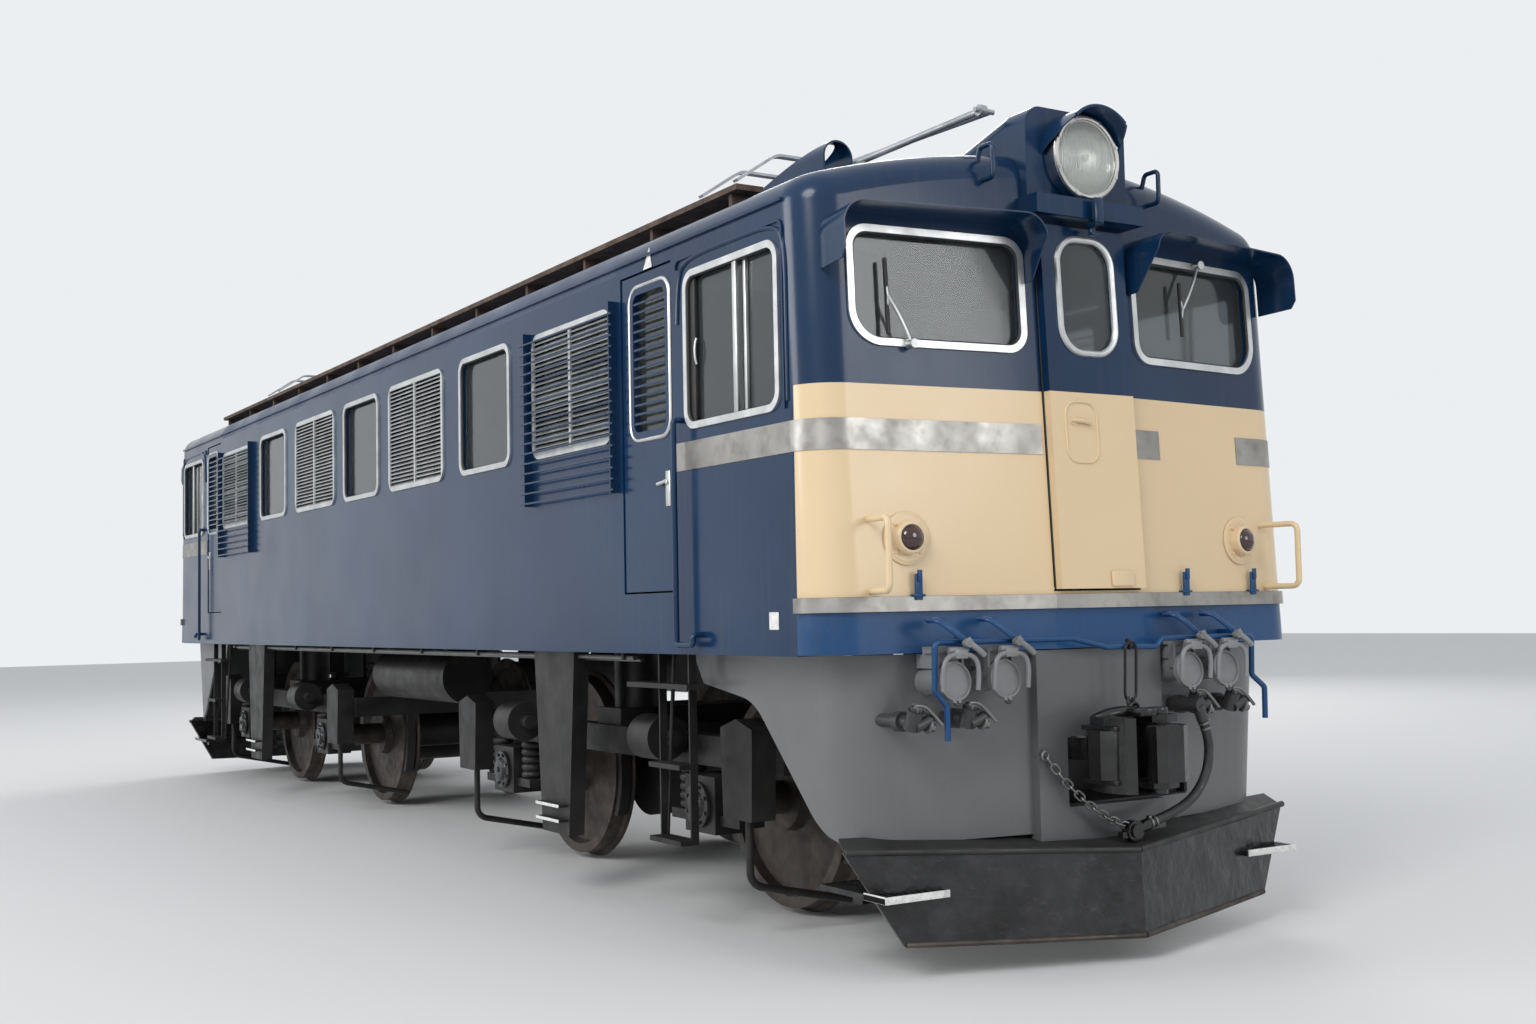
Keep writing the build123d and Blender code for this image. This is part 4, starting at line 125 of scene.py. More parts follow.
# Blue body paint: gloss enamel over steel, a little uneven, with fine road dust and faint vertical
# runs spread by noise over the whole surface. Every paint here is made by this one function.
def paint(name, colour, second=None, rough=0.3, metal=0.0, grain=2.5, grime=0.12,
          grime_colour=(0.10, 0.09, 0.08), bump=0.012, coat=0.0, fine=60.0, streak=0.0,
          gloss=0.5):
    """Procedural finish with uneven colour, grime, streaks, rough patches and a fine bump."""
    made = bpy.data.materials.new(name)
    made.use_nodes = True
    tree = made.node_tree
    link = tree.links.new
    shader = tree.nodes["Principled BSDF"]
    shader.inputs["Metallic"].default_value = metal
    shader.inputs["Coat Weight"].default_value = coat
    shader.inputs["Specular IOR Level"].default_value = gloss
    shader.inputs["Coat Roughness"].default_value = 0.08
    place = tree.nodes.new("ShaderNodeTexCoord").outputs["Object"]

    def noise(scale, detail, stretch=(1, 1, 1)):
        spread = tree.nodes.new("ShaderNodeMapping")
        spread.inputs["Scale"].default_value = stretch
        link(place, spread.inputs["Vector"])
        node = tree.nodes.new("ShaderNodeTexNoise")
        node.inputs["Scale"].default_value = scale
        node.inputs["Detail"].default_value = detail
        link(spread.outputs[0], node.inputs["Vector"])
        return node.outputs["Fac"]

    def ranged(value, low, high, to_low, to_high):
        node = tree.nodes.new("ShaderNodeMapRange")
        node.inputs["From Min"].default_value = low
        node.inputs["From Max"].default_value = high
        node.inputs["To Min"].default_value = to_low
        node.inputs["To Max"].default_value = to_high
        link(value, node.inputs["Value"])
        return node.outputs[0]

    def mixed(factor, first, other):
        node = tree.nodes.new("ShaderNodeMix")
        node.data_type = "RGBA"
        link(factor, node.inputs["Factor"])
        for value, socket in ((first, "A"), (other, "B")):
            if isinstance(value, tuple):
                node.inputs[socket].default_value = (*value, 1)
            else:
                link(value, node.inputs[socket])
        return node.outputs["Result"]

    deep = tuple(c * 0.86 for c in colour)
    light = second or tuple(min(1.0, c * 1.12 + 0.004) for c in colour)
    shade = mixed(ranged(noise(grain, 5), 0.35, 0.65, 0, 1), deep, light)
    if streak:
        runs = noise(3.0, 6, (9, 9, 0.35))
        shade = mixed(ranged(runs, 0.55, 0.75, 0, streak), shade, grime_colour)
    dirt = ranged(noise(grain * 3.1, 8), 0.5, 0.78, 0, grime)
    shade = mixed(dirt, shade, grime_colour)
    link(shade, shader.inputs["Base Color"])
    link(ranged(noise(grain * 2.3, 6), 0.3, 0.7, rough * 0.75, min(1.0, rough * 1.35)),
         shader.inputs["Roughness"])
    relief = tree.nodes.new("ShaderNodeBump")
    relief.inputs["Strength"].default_value = 0.35
    relief.inputs["Distance"].default_value = bump
    link(noise(fine, 4), relief.inputs["Height"])
    link(relief.outputs[0], shader.inputs["Normal"])
    return made, tree, shader, mixed, place


def wear(parts, *names):
    """Puts one finish on several frame nodes."""
    for name in names:
        nodes[name].data.materials.clear()
        nodes[name].data.materials.append(parts)


BLUE = (0.002, 0.023, 0.068)
CREAM = (0.72, 0.555, 0.345)
GREY = (0.112, 0.115, 0.118)
blue = paint("blue_enamel", BLUE, rough=0.20, grain=0.9, grime=0.05, bump=0.0008, coat=0.12,
             fine=14, streak=0.10, gloss=0.3)[0]
wear(blue, "side_wall_right", "side_wall_left", "cab_roofs", "window_hoods",
     "headlight_housings", "horn_covers", "crew_door_front_right", "crew_door_front_left",
     "crew_door_rear_right", "crew_door_rear_left", "guard_bars")

# Beam paint: a fresher, brighter blue on the buffer beams and the fittings in front of them.
BEAM_BLUE = (0.008, 0.055, 0.155)
beam_blue = paint("beam_enamel", BEAM_BLUE, rough=0.28, grain=1.4, grime=0.12,
                  bump=0.0008, fine=14, streak=0.08, gloss=0.35)[0]
wear(beam_blue, "buffer_beams")

# Nose paint: the ends are cream between the ledge strip and the door's paint line, and blue
# above and behind the corners. The same finish covers the gangway doors, the lamp rings and the
# handrails' node, whose coupling levers below the beam take the beam's brighter blue.
CREAM_LOW = 1.583
CREAM_HIGH = 2.481
CREAM_X = 5.796
LEVER_TOP = 1.480
nose, tree, shader, mixed, place = paint("nose_enamel", BLUE, rough=0.20, grain=0.9, grime=0.05,
                                         bump=0.0008, coat=0.12, fine=14, streak=0.06,
                                         gloss=0.3)
blue_colour = shader.inputs["Base Color"].links[0].from_socket


def position():
    """Sockets of the distance from the middle along the length, and of the height."""
    axes = tree.nodes.new("ShaderNodeSeparateXYZ")
    tree.links.new(place, axes.inputs[0])
    reach = tree.nodes.new("ShaderNodeMath")
    reach.operation = "ABSOLUTE"
    tree.links.new(axes.outputs["X"], reach.inputs[0])
    return reach.outputs[0], axes.outputs["Z"]


def past(socket, value, mode="GREATER_THAN"):
    """1 where a coordinate is past a value."""
    node = tree.nodes.new("ShaderNodeMath")
    node.operation = mode
    node.inputs[1].default_value = value
    tree.links.new(socket, node.inputs[0])
    return node.outputs[0]


def both(first, other):
    """1 where two masks are 1."""
    node = tree.nodes.new("ShaderNodeMath")
    node.operation = "MULTIPLY"
    tree.links.new(first, node.inputs[0])
    tree.links.new(other, node.inputs[1])
    return node.outputs[0]


reach, height = position()
band = both(past(reach, CREAM_X),
            both(past(height, CREAM_LOW), past(height, CREAM_HIGH, "LESS_THAN")))
cream_spots = tree.nodes.new("ShaderNodeTexNoise")
cream_spots.inputs["Scale"].default_value = 1.3
cream_spots.inputs["Detail"].default_value = 5
tree.links.new(place, cream_spots.inputs["Vector"])
cream_shade = mixed(cream_spots.outputs["Fac"], CREAM, tuple(c * 0.90 for c in CREAM))
tree.links.new(mixed(band, blue_colour, cream_shade), shader.inputs["Base Color"])
under = both(past(reach, CREAM_X), past(height, LEVER_TOP, "LESS_THAN"))
tree.links.new(mixed(under, shader.inputs["Base Color"].links[0].from_socket, BEAM_BLUE),
               shader.inputs["Base Color"])
wear(nose, "cab_end_front", "cab_end_rear", "gangway_door_front", "gangway_door_rear",
     "marker_lamps", "handrails")

# Plain finishes of the other frame parts: bright steel trim, grey skirts, black running gear.
bright = paint("worn_stainless", (0.34, 0.33, 0.31), rough=0.38, metal=1.0, grain=4, grime=0.45,
               grime_colour=(0.12, 0.10, 0.08), bump=0.0006, fine=30)[0]
wear(bright, "bright_trim")
silver = paint("window_aluminium", (0.60, 0.61, 0.61), rough=0.36, metal=0.85, grain=5, grime=0.16,
               bump=0.0004, fine=50)[0]
wear(silver, "window_frames", "louvres")
grey = paint("skirt_grey", GREY, rough=0.34, grain=1.2, grime=0.10, bump=0.001, coat=0.2,
             fine=10, streak=0.12)[0]
wear(grey, "skirts")
black = paint("running_gear_black", (0.010, 0.010, 0.0105), (0.022, 0.021, 0.020), rough=0.42,
              grain=3, grime=0.32, grime_colour=(0.045, 0.038, 0.032), bump=0.003, fine=26,
              gloss=0.3)[0]
wear(black, "underframe", "bogie_front_frame", "bogie_front_gear", "bogie_rear_frame",
     "bogie_rear_gear", "crew_steps", "underfloor_gear")
scuffed = paint("plough_black", (0.005, 0.005, 0.0055), (0.020, 0.020, 0.021), rough=0.22,
                grain=4, grime=0.38, grime_colour=(0.050, 0.050, 0.052), bump=0.035, fine=9,
                coat=0.1, gloss=0.4)[0]
wear(scuffed, "ploughs")
rolled = paint("wheel_steel", (0.050, 0.044, 0.040), (0.10, 0.085, 0.075), rough=0.5, metal=0.6,
               grain=6, grime=0.45, grime_colour=(0.10, 0.055, 0.035), bump=0.002, fine=40)[0]
wear(rolled, "wheelset_1", "wheelset_2", "wheelset_3", "wheelset_4")
roof_paint = paint("roof_enamel", (0.014, 0.036, 0.085), rough=0.35, grain=1.2, grime=0.30,
                   grime_colour=(0.06, 0.06, 0.06), bump=0.001, fine=12, streak=0.1)[0]
wear(roof_paint, "machine_roof", "roof_hatches")
boards = paint("oiled_board", (0.050, 0.030, 0.022), (0.11, 0.070, 0.050), rough=0.75, grain=9,
               grime=0.4, bump=0.004, fine=70)[0]
wear(boards, "running_boards")
glaze = paint("glazed_porcelain", (0.22, 0.10, 0.055), (0.30, 0.15, 0.085), rough=0.16, grain=8,
              grime=0.2, bump=0.0005, coat=0.8)[0]
wear(glaze, "insulators")
arms = paint("pantograph_aluminium", (0.36, 0.38, 0.40), rough=0.42, metal=0.5, grain=6,
             grime=0.28, bump=0.0006, fine=60)[0]
wear(arms, "pantograph_bases", *[n for n in nodes if n.startswith("pantograph_")])
inside = paint("cab_green", (0.16, 0.21, 0.185), rough=0.55, grain=2, grime=0.2, bump=0.0005)[0]
wear(inside, "cab_fittings")
machine = paint("machine_grey", (0.12, 0.125, 0.13), rough=0.55, grain=2, grime=0.3)[0]
wear(machine, "machine_room")
RIM_SILVER = (0.62, 0.61, 0.58)
rim = paint("lamp_rim", RIM_SILVER, rough=0.2, metal=1.0, grain=5, grime=0.1,
            bump=0.0003)[0]

# Lamp barrels and sockets: blue barrels with a bright dish and ring in front, and grey
# sockets over darker cocks.
LAMP_Z = 3.556
DISH_X = 6.060
DISH_RADIUS = 0.197
COCK_TOP = 1.140
barrels, tree, shader, mixed, place = paint("lamp_barrels", BLUE, rough=0.2, grain=0.9,
                                            grime=0.05, bump=0.0008, coat=0.12, fine=14, gloss=0.3)
barrel_colour = shader.inputs["Base Color"].links[0].from_socket
reach, height = position()
flat = tree.nodes.new("ShaderNodeVectorMath")
flat.operation = "MULTIPLY"
flat.inputs[1].default_value = (0, 1, 1)
away = tree.nodes.new("ShaderNodeVectorMath")
away.operation = "DISTANCE"
away.inputs[1].default_value = (0, 0, LAMP_Z)
tree.links.new(place, flat.inputs[0])
tree.links.new(flat.outputs[0], away.inputs[0])
dish = both(past(reach, DISH_X), past(away.outputs["Value"], DISH_RADIUS, "LESS_THAN"))
tree.links.new(mixed(dish, barrel_colour, RIM_SILVER), shader.inputs["Base Color"])
tree.links.new(dish, shader.inputs["Metallic"])
wear(barrels, "headlamps")
fittings, tree, shader, mixed, place = paint("socket_grey", (0.20, 0.205, 0.21), rough=0.36,
                                             grain=3, grime=0.25, bump=0.001, fine=30)
socket_colour = shader.inputs["Base Color"].links[0].from_socket
low_down = past(position()[1], COCK_TOP, "LESS_THAN")
tree.links.new(mixed(low_down, socket_colour, (0.030, 0.030, 0.031)), shader.inputs["Base Color"])
wear(fittings, "end_fittings")

# Window glass: thin grey panes that show the cab dimly and take the sky.
glass = bpy.data.materials.new("window_glass")
glass.use_nodes = True
tree = glass.node_tree
shader = tree.nodes["Principled BSDF"]
shader.inputs["Base Color"].default_value = (0.34, 0.37, 0.38, 1)
shader.inputs["Transmission Weight"].default_value = 0.92
shader.inputs["IOR"].default_value = 1.45
dust = tree.nodes.new("ShaderNodeTexNoise")
dust.inputs["Scale"].default_value = 5
span = tree.nodes.new("ShaderNodeMapRange")
span.inputs["To Min"].default_value = 0.02
span.inputs["To Max"].default_value = 0.12
tree.links.new(tree.nodes.new("ShaderNodeTexCoord").outputs["Object"], dust.inputs["Vector"])
tree.links.new(dust.outputs["Fac"], span.inputs["Value"])
tree.links.new(span.outputs[0], shader.inputs["Roughness"])
wear(glass, "panes")

# Window rubbers: a black moulded strip round each pane, squeezed between frame and glass.
# This section also holds the few moves that every modelled piece below is made with.
rubber = paint("window_rubber", (0.014, 0.014, 0.014), rough=0.55, grime=0.2, bump=0.0004)[0]
half_turn = Matrix.Rotation(math.pi, 4, "Z")
ENDS = (("front", Matrix.Identity(4)), ("rear", half_turn))


def alone(piece):
    """Only this piece is selected and active."""
    bpy.ops.object.select_all(action="DESELECT")
    piece.select_set(True)
    bpy.context.view_layer.objects.active = piece
    return piece


def block(name, centre, size, turn=(0, 0, 0)):
    """A box of this size, ready to be bevelled or cut."""
    bpy.ops.object.select_all(action="DESELECT")
    bpy.ops.mesh.primitive_cube_add(size=1, location=centre, rotation=turn)
    piece = bpy.context.object
    piece.name = name
    piece.scale = size
    bpy.ops.object.transform_apply(location=True, rotation=True, scale=True)
    return piece


def drum(name, centre, radius, depth, turn=(0, 0, 0), sides=32, tip=None):
    """A round bar, disc or cone of this size."""
    bpy.ops.object.select_all(action="DESELECT")
    bpy.ops.mesh.primitive_cone_add(vertices=sides, radius1=radius,
                                    radius2=radius if tip is None else tip, depth=depth,
                                    location=centre, rotation=turn)
    piece = bpy.context.object
    piece.name = name
    bpy.ops.object.transform_apply(location=True, rotation=True, scale=True)
    return piece


def joined(pieces, name):
    """Several meshes as one."""
    bpy.ops.object.select_all(action="DESELECT")
    for piece in pieces:
        piece.select_set(True)
    bpy.context.view_layer.objects.active = pieces[0]
    if len(pieces) > 1:
        bpy.ops.object.join()
    pieces[0].name = name
    return pieces[0]


def moved_copy(piece, matrix):
    """A copy with its own mesh, put in place by a matrix."""
    other = piece.copy()
    other.data = piece.data.copy()
    other.data.transform(matrix)
    bpy.context.scene.collection.objects.link(other)
    return other


def repeated(piece, matrices):
    """The piece once for each matrix, as one mesh."""
    name = piece.name
    made = [moved_copy(piece, m) for m in matrices]
    bpy.data.objects.remove(piece)
    return joined(made, name)


def both_ends(piece):
    """The piece at the front and, turned half round, at the rear."""
    return repeated(piece, [turn for end, turn in ENDS])


def settle(piece, finish, body="body", bevel=0.0, smooth=35):
    """Rounds the edges, smooths by angle, paints the piece and puts it on its body."""
    alone(piece)
    if bevel:
        edge = piece.modifiers.new("edge", "BEVEL")
        edge.width = bevel
        edge.segments = 2
        edge.limit_method = "ANGLE"
        bpy.ops.object.modifier_apply(modifier="edge")
    bpy.ops.object.shade_smooth_by_angle(angle=math.radians(smooth))
    piece.data.materials.clear()
    piece.data.materials.append(finish)
    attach(piece, body)
    return piece


def tube(name, points, radius, closed=False, smooth_turns=True, sides=3):
    """A round tube along points, as a mesh."""
    line = bpy.data.curves.new(name, "CURVE")
    line.dimensions = "3D"
    run = line.splines.new("NURBS" if smooth_turns else "POLY")
    run.points.add(len(points) - 1)
    for point, at in zip(run.points, points):
        point.co = (*at, 1)
    if smooth_turns:
        run.order_u = 3
        run.use_endpoint_u = not closed
    run.use_cyclic_u = closed
    line.resolution_u = 6
    line.bevel_depth = radius
    line.bevel_resolution = sides
    line.use_fill_caps = True
    piece = bpy.data.objects.new(name, line)
    bpy.context.scene.collection.objects.link(piece)
    alone(piece)
    bpy.ops.object.convert(target="MESH")
    piece = bpy.context.object
    piece.name = name
    return piece


def rounded_loop(width, height, radius, steps=6):
    """Points of a rounded rectangle about the origin, across then up."""
    loop = []
    for cx, cy, start in ((1, 1, 0), (-1, 1, 90), (-1, -1, 180), (1, -1, 270)):
        for i in range(steps + 1):
            a = math.radians(start + 90 * i / steps)
            loop.append((cx * (width / 2 - radius) + radius * math.cos(a),
                         cy * (height / 2 - radius) + radius * math.sin(a)))
    return loop


SIDE_PANES = [(-2.36, 0.76, 0.68), (0, 0.76, 0.68), (2.36, 0.76, 0.68)]
CAB_PANE_X = 5.283
CAB_PANE_Z = 2.7615
WALL_Y = 1.400
rubbers = []
for side in (-1, 1):
    for x, width, height in SIDE_PANES:
        loop = rounded_loop(0.752, 0.671, 0.066)
        rubbers.append(tube("side_rubber", [(x + u, side * (WALL_Y - 0.002), 2.7655 + v)
                                            for u, v in loop], 0.011, True, False))
    for x in (-CAB_PANE_X, CAB_PANE_X):
        loop = rounded_loop(0.790, 0.695, 0.066)
        rubbers.append(tube("cab_rubber", [(x + u, side * (WALL_Y - 0.002), CAB_PANE_Z + v)
                                           for u, v in loop], 0.011, True, False))
settle(joined(rubbers, "side_window_rubbers"), rubber)

# Nose glazing: each nose window has a rubber, and its frame is bedded in the sloping panel.
NOSE_X = 6.105
NOSE_Y = 0.262
NOSE_Z = 1.600
LEAN = 0.05
SWEEP = 0.103


def nose_place(side, along, height, out=0.0):
    """Matrix of a spot on a nose panel: x across to the left, y up it, z out of it."""
    x = NOSE_X - SWEEP * (abs(along) - NOSE_Y) - LEAN * (height - NOSE_Z)
    normal = Vector((1, side * SWEEP, LEAN)).normalized()
    across = Vector((-side * SWEEP, 1, 0)).normalized()
    rise = normal.cross(across)
    spot = Vector((x, along, height)) + normal * out
    return Matrix((
        (across.x, rise.x, normal.x, spot.x),
        (across.y, rise.y, normal.y, spot.y),
        (across.z, rise.z, normal.z, spot.z),
        (0, 0, 0, 1),
    ))


NOSE_PANE = (0.7675, 2.9075, 0.845, 0.471)
nose_rubbers = []
for side in (-1, 1):
    spot = nose_place(side, side * NOSE_PANE[0], NOSE_PANE[1], 0.001)
    loop = rounded_loop(NOSE_PANE[2] - 0.008, NOSE_PANE[3] - 0.008, 0.078)
    nose_rubbers.append(tube("nose_rubber", [spot @ Vector((u, v, 0)) for u, v in loop], 0.010,
                             True, False))
settle(both_ends(joined(nose_rubbers, "nose_window_rubbers")), rubber)

# Wipers: a silver arm from a spindle on each nose window's frame, to a black upright blade.
WIPERS = [  # side, spindle, blade's middle, blade's half length
    (-1, (-0.930, 2.655), (-1.030, 2.860), 0.165),
    (1, (0.800, 3.155), (0.672, 2.930), 0.130),
]
wiper_arms, wiper_blades = [], []
for side, spindle, grip, half in WIPERS:
    root = nose_place(side, *spindle, 0.030).translation
    tip = nose_place(side, *grip, 0.024).translation
    wiper_arms.append(drum("wiper_knob", root, 0.020, 0.050, (0, math.radians(90), 0), 20))
    wiper_arms.append(tube("wiper_arm", [root, root.lerp(tip, 0.5) + Vector((0.020, 0, 0)), tip], 0.007))
    for step in (-0.045, 0.045):
        end = nose_place(side, grip[0], grip[1] + step, 0.016).translation
        wiper_arms.append(tube("wiper_fork", [tip, end], 0.005, False, False))
    blade = [nose_place(side, grip[0], grip[1] + half * k, 0.012).translation for k in (-1, 0, 1)]
    wiper_blades.append(tube("wiper_blade", blade, 0.010))
settle(both_ends(joined(wiper_arms, "wiper_arms")), silver)
settle(both_ends(joined(wiper_blades, "wiper_blades")), rubber)

# Marker lamps: a dark red glass in a turned cream ring on each boss, with a black gasket and a
# broad cream plate held by four screws.


def sheet(name, loop, thick):
    """A flat plate of this outline, across then up, with its middle at the origin."""
    line = bpy.data.curves.new(name, "CURVE")
    line.dimensions = "2D"
    line.fill_mode = "BOTH"
    line.extrude = thick / 2
    run = line.splines.new("POLY")
    run.points.add(len(loop) - 1)
    for point, (u, v) in zip(run.points, loop):
        point.co = (u, v, 0, 1)
    run.use_cyclic_u = True
    piece = bpy.data.objects.new(name, line)
    bpy.context.scene.collection.objects.link(piece)
    alone(piece)
    bpy.ops.object.convert(target="MESH")
    piece = bpy.context.object
    bpy.ops.object.mode_set(mode="EDIT")
    bpy.ops.mesh.select_all(action="SELECT")
    bpy.ops.mesh.remove_doubles(threshold=0.00001)
    bpy.ops.mesh.normals_make_consistent(inside=False)
    bpy.ops.object.mode_set(mode="OBJECT")
    return piece


MARKER_Y = 0.992
MARKER_Z = 1.826
red = bpy.data.materials.new("ruby_glass")
red.use_nodes = True
shader = red.node_tree.nodes["Principled BSDF"]
shader.inputs["Base Color"].default_value = (0.030, 0.003, 0.004, 1)
shader.inputs["Roughness"].default_value = 0.06
shader.inputs["Coat Weight"].default_value = 0.8
lens_parts, ring_parts, gaskets = [], [], []
for side in (-1, 1):
    spot = nose_place(side, side * MARKER_Y, MARKER_Z, 0.046)
    bpy.ops.object.select_all(action="DESELECT")
    bpy.ops.mesh.primitive_uv_sphere_add(segments=32, ring_count=16, radius=0.054)
    lens = bpy.context.object
    bpy.ops.object.mode_set(mode="EDIT")
    bpy.ops.mesh.select_all(action="SELECT")
    bpy.ops.mesh.bisect(plane_co=(0, 0, 0), plane_no=(0, 0, 1), clear_inner=True, use_fill=True)
    bpy.ops.object.mode_set(mode="OBJECT")
    lens.data.transform(Matrix.Diagonal((1, 1, 0.62, 1)))
    lens.data.transform(spot)
    lens_parts.append(lens)
    bpy.ops.object.select_all(action="DESELECT")
    bpy.ops.mesh.primitive_torus_add(major_radius=0.060, minor_radius=0.010, major_segments=40,
                                     minor_segments=10)
    ring = bpy.context.object
    ring.data.transform(spot)
    ring_parts.append(ring)
    gasket = tube("gasket", [(0.0505 * math.cos(math.radians(a)), 0.0505 * math.sin(math.radians(a)),
                              0.007) for a in range(0, 360, 10)], 0.004, True, False)
    gasket.data.transform(spot)
    gaskets.append(gasket)
    plate = sheet("plate", rounded_loop(0.226, 0.226, 0.110, 8), 0.008)
    plate.data.transform(nose_place(side, side * MARKER_Y, MARKER_Z, 0.006))
    ring_parts.append(plate)
    for i in range(4):
        a = math.radians(45 + 90 * i)
        at = nose_place(side, side * MARKER_Y, MARKER_Z, 0.015) @ Vector(
            (0.085 * math.cos(a), 0.085 * math.sin(a), 0))
        screw = drum("screw", (0, 0, 0), 0.008, 0.008, (0, 0, 0), 10)
        screw.data.transform(Matrix.Translation(at) @ spot.to_3x3().to_4x4())
        ring_parts.append(screw)
settle(both_ends(joined(lens_parts, "marker_lenses")), red)
settle(both_ends(joined(ring_parts, "marker_rings")), nose, bevel=0.0015)
settle(both_ends(joined(gaskets, "marker_gaskets")), rubber)

# Gangway door window: a rounded aluminium bead and its pane, turning with the door.
DOOR_FACE_X = 6.084
DOOR_LIGHT_Z = 2.923


def facing(x, y, z, lean=0.05, sweep=0.0, side=1):
    """Matrix of a spot facing forward: across to the left, up, and out of the nose."""
    normal = Vector((1, side * sweep, lean)).normalized()
    across = Vector((-side * sweep, 1, 0)).normalized()
    rise = normal.cross(across)
    return Matrix((
        (across.x, rise.x, normal.x, x),
        (across.y, rise.y, normal.y, y),
        (across.z, rise.z, normal.z, z),
        (0, 0, 0, 1),
    ))


door_light = facing(DOOR_FACE_X, 0, DOOR_LIGHT_Z)
for end, turn in ENDS:
    loop = rounded_loop(0.326, 0.524, 0.122, 8)
    bead = tube("gangway_bead_" + end, [door_light @ Vector((u, v, 0.002)) for u, v in loop], 0.016,
                True, False)
    bead.data.transform(turn)
    settle(bead, silver, "gangway_door_" + end)
    pane = sheet("gangway_pane_" + end, rounded_loop(0.300, 0.498, 0.109, 8), 0.006)
    pane.data.transform(turn @ door_light @ Matrix.Translation((0, 0, -0.016)))
    settle(pane, glass, "gangway_door_" + end)

# Gangway door fittings: a lever handle in its pocket, a blank cover plate at the foot and a
# dark seal round the leaf.
for end, turn in ENDS:
    pocket = facing(6.115, -0.078, 2.302)
    lip = tube("lip", [pocket @ Vector((u, v, 0.001)) for u, v in rounded_loop(0.184, 0.272, 0.060)],
               0.006, True, False)
    spindle = drum("spindle", (0, 0, 0), 0.020, 0.030)
    spindle.data.transform(pocket @ Matrix.Translation((-0.045, 0.050, -0.008)))
    grip = tube("grip", [pocket @ Vector(v) for v in ((-0.062, 0.052, 0.006), (-0.02, 0.050, 0.012),
                                                     (0.030, 0.046, 0.012), (0.050, 0.040, 0.006))],
                0.010)
    latch = block("latch", (0, 0, 0), (0.030, 0.060, 0.012))
    latch.data.transform(pocket @ Matrix.Translation((-0.045, -0.030, -0.018)))
    handle = joined([lip, spindle, grip, latch], "gangway_handle_" + end)
    handle.data.transform(turn)
    settle(handle, nose, "gangway_door_" + end, 0.002)
    foot = sheet("gangway_plate_" + end, rounded_loop(0.130, 0.068, 0.006), 0.008)
    foot.data.transform(turn @ facing(6.1505, 0.105, 1.648) @ Matrix.Translation((0, 0, 0.003)))
    settle(foot, nose, "gangway_door_" + end, 0.001)
    loop = [(-0.252, 0.004), (0.252, 0.004), (0.252, 1.632), (-0.252, 1.632)]
    seal = tube("gangway_seal_" + end, [facing(6.107, 0, 1.604) @ Vector((u, v, -0.001))
                                        for u, v in loop], 0.005, True, False)
    seal.data.transform(turn)
    settle(seal, rubber, "gangway_door_" + end)

# Headlamps: a fluted glass bowed over the dish, a bulb in its holder, and the screwed bezel.
lamp_place = facing(6.118, 0, LAMP_Z, 0.0)
clear = bpy.data.materials.new("lamp_glass")
clear.use_nodes = True
tree = clear.node_tree
shader = tree.nodes["Principled BSDF"]
shader.inputs["Base Color"].default_value = (0.80, 0.83, 0.80, 1)
shader.inputs["Transmission Weight"].default_value = 0.75
shader.inputs["Roughness"].default_value = 0.10
wave = tree.nodes.new("ShaderNodeTexWave")
wave.bands_direction = "Y"
wave.inputs["Scale"].default_value = 26
flute = tree.nodes.new("ShaderNodeBump")
flute.inputs["Strength"].default_value = 0.5
flute.inputs["Distance"].default_value = 0.002
tree.links.new(tree.nodes.new("ShaderNodeTexCoord").outputs["Object"], wave.inputs["Vector"])
tree.links.new(wave.outputs["Fac"], flute.inputs["Height"])
tree.links.new(flute.outputs[0], shader.inputs["Normal"])
bpy.ops.object.select_all(action="DESELECT")
bpy.ops.mesh.primitive_uv_sphere_add(segments=64, ring_count=64, radius=0.46)
lens = bpy.context.object
lens.name = "headlamp_glasses"
bpy.ops.object.mode_set(mode="EDIT")
bpy.ops.mesh.select_all(action="SELECT")
bpy.ops.mesh.bisect(plane_co=(0, 0, 0.426), plane_no=(0, 0, 1), clear_inner=True, use_fill=True)
bpy.ops.object.mode_set(mode="OBJECT")
lens.data.transform(lamp_place @ Matrix.Translation((0, 0, -0.430)))
settle(both_ends(lens), clear)
bulb = drum("bulb", (0, 0, -0.020), 0.020, 0.030, tip=0.012)
cap = drum("cap", (0, 0, -0.042), 0.026, 0.016)
holder = joined([bulb, cap], "headlamp_bulbs")
holder.data.transform(lamp_place)
settle(both_ends(holder), silver, bevel=0.002)
BEZEL = 0.182
ring = tube("bezel", [(BEZEL * math.cos(math.radians(a)), BEZEL * math.sin(math.radians(a)), 0.002)
                      for a in range(0, 360, 10)], 0.012, True, False)
studs = [ring]
for a in range(0, 360, 45):
    spot = (BEZEL * math.cos(math.radians(a + 20)), BEZEL * math.sin(math.radians(a + 20)), 0.012)
    studs.append(drum("stud", spot, 0.008, 0.010, sides=6))
bezel = joined(studs, "headlamp_bezels")
bezel.data.transform(lamp_place)
settle(both_ends(bezel), rim)

# Hood beads: a rolled edge round the front of each lamp hood.
HOOD_X = 6.220
HOOD_RADIUS = 0.210
edge = tube("lamp_hood_bead", [(HOOD_X, HOOD_RADIUS * math.cos(math.radians(a)),
                                LAMP_Z + HOOD_RADIUS * math.sin(math.radians(a)))
                               for a in range(46, 135, 4)], 0.008, False, False)
settle(both_ends(edge), blue)

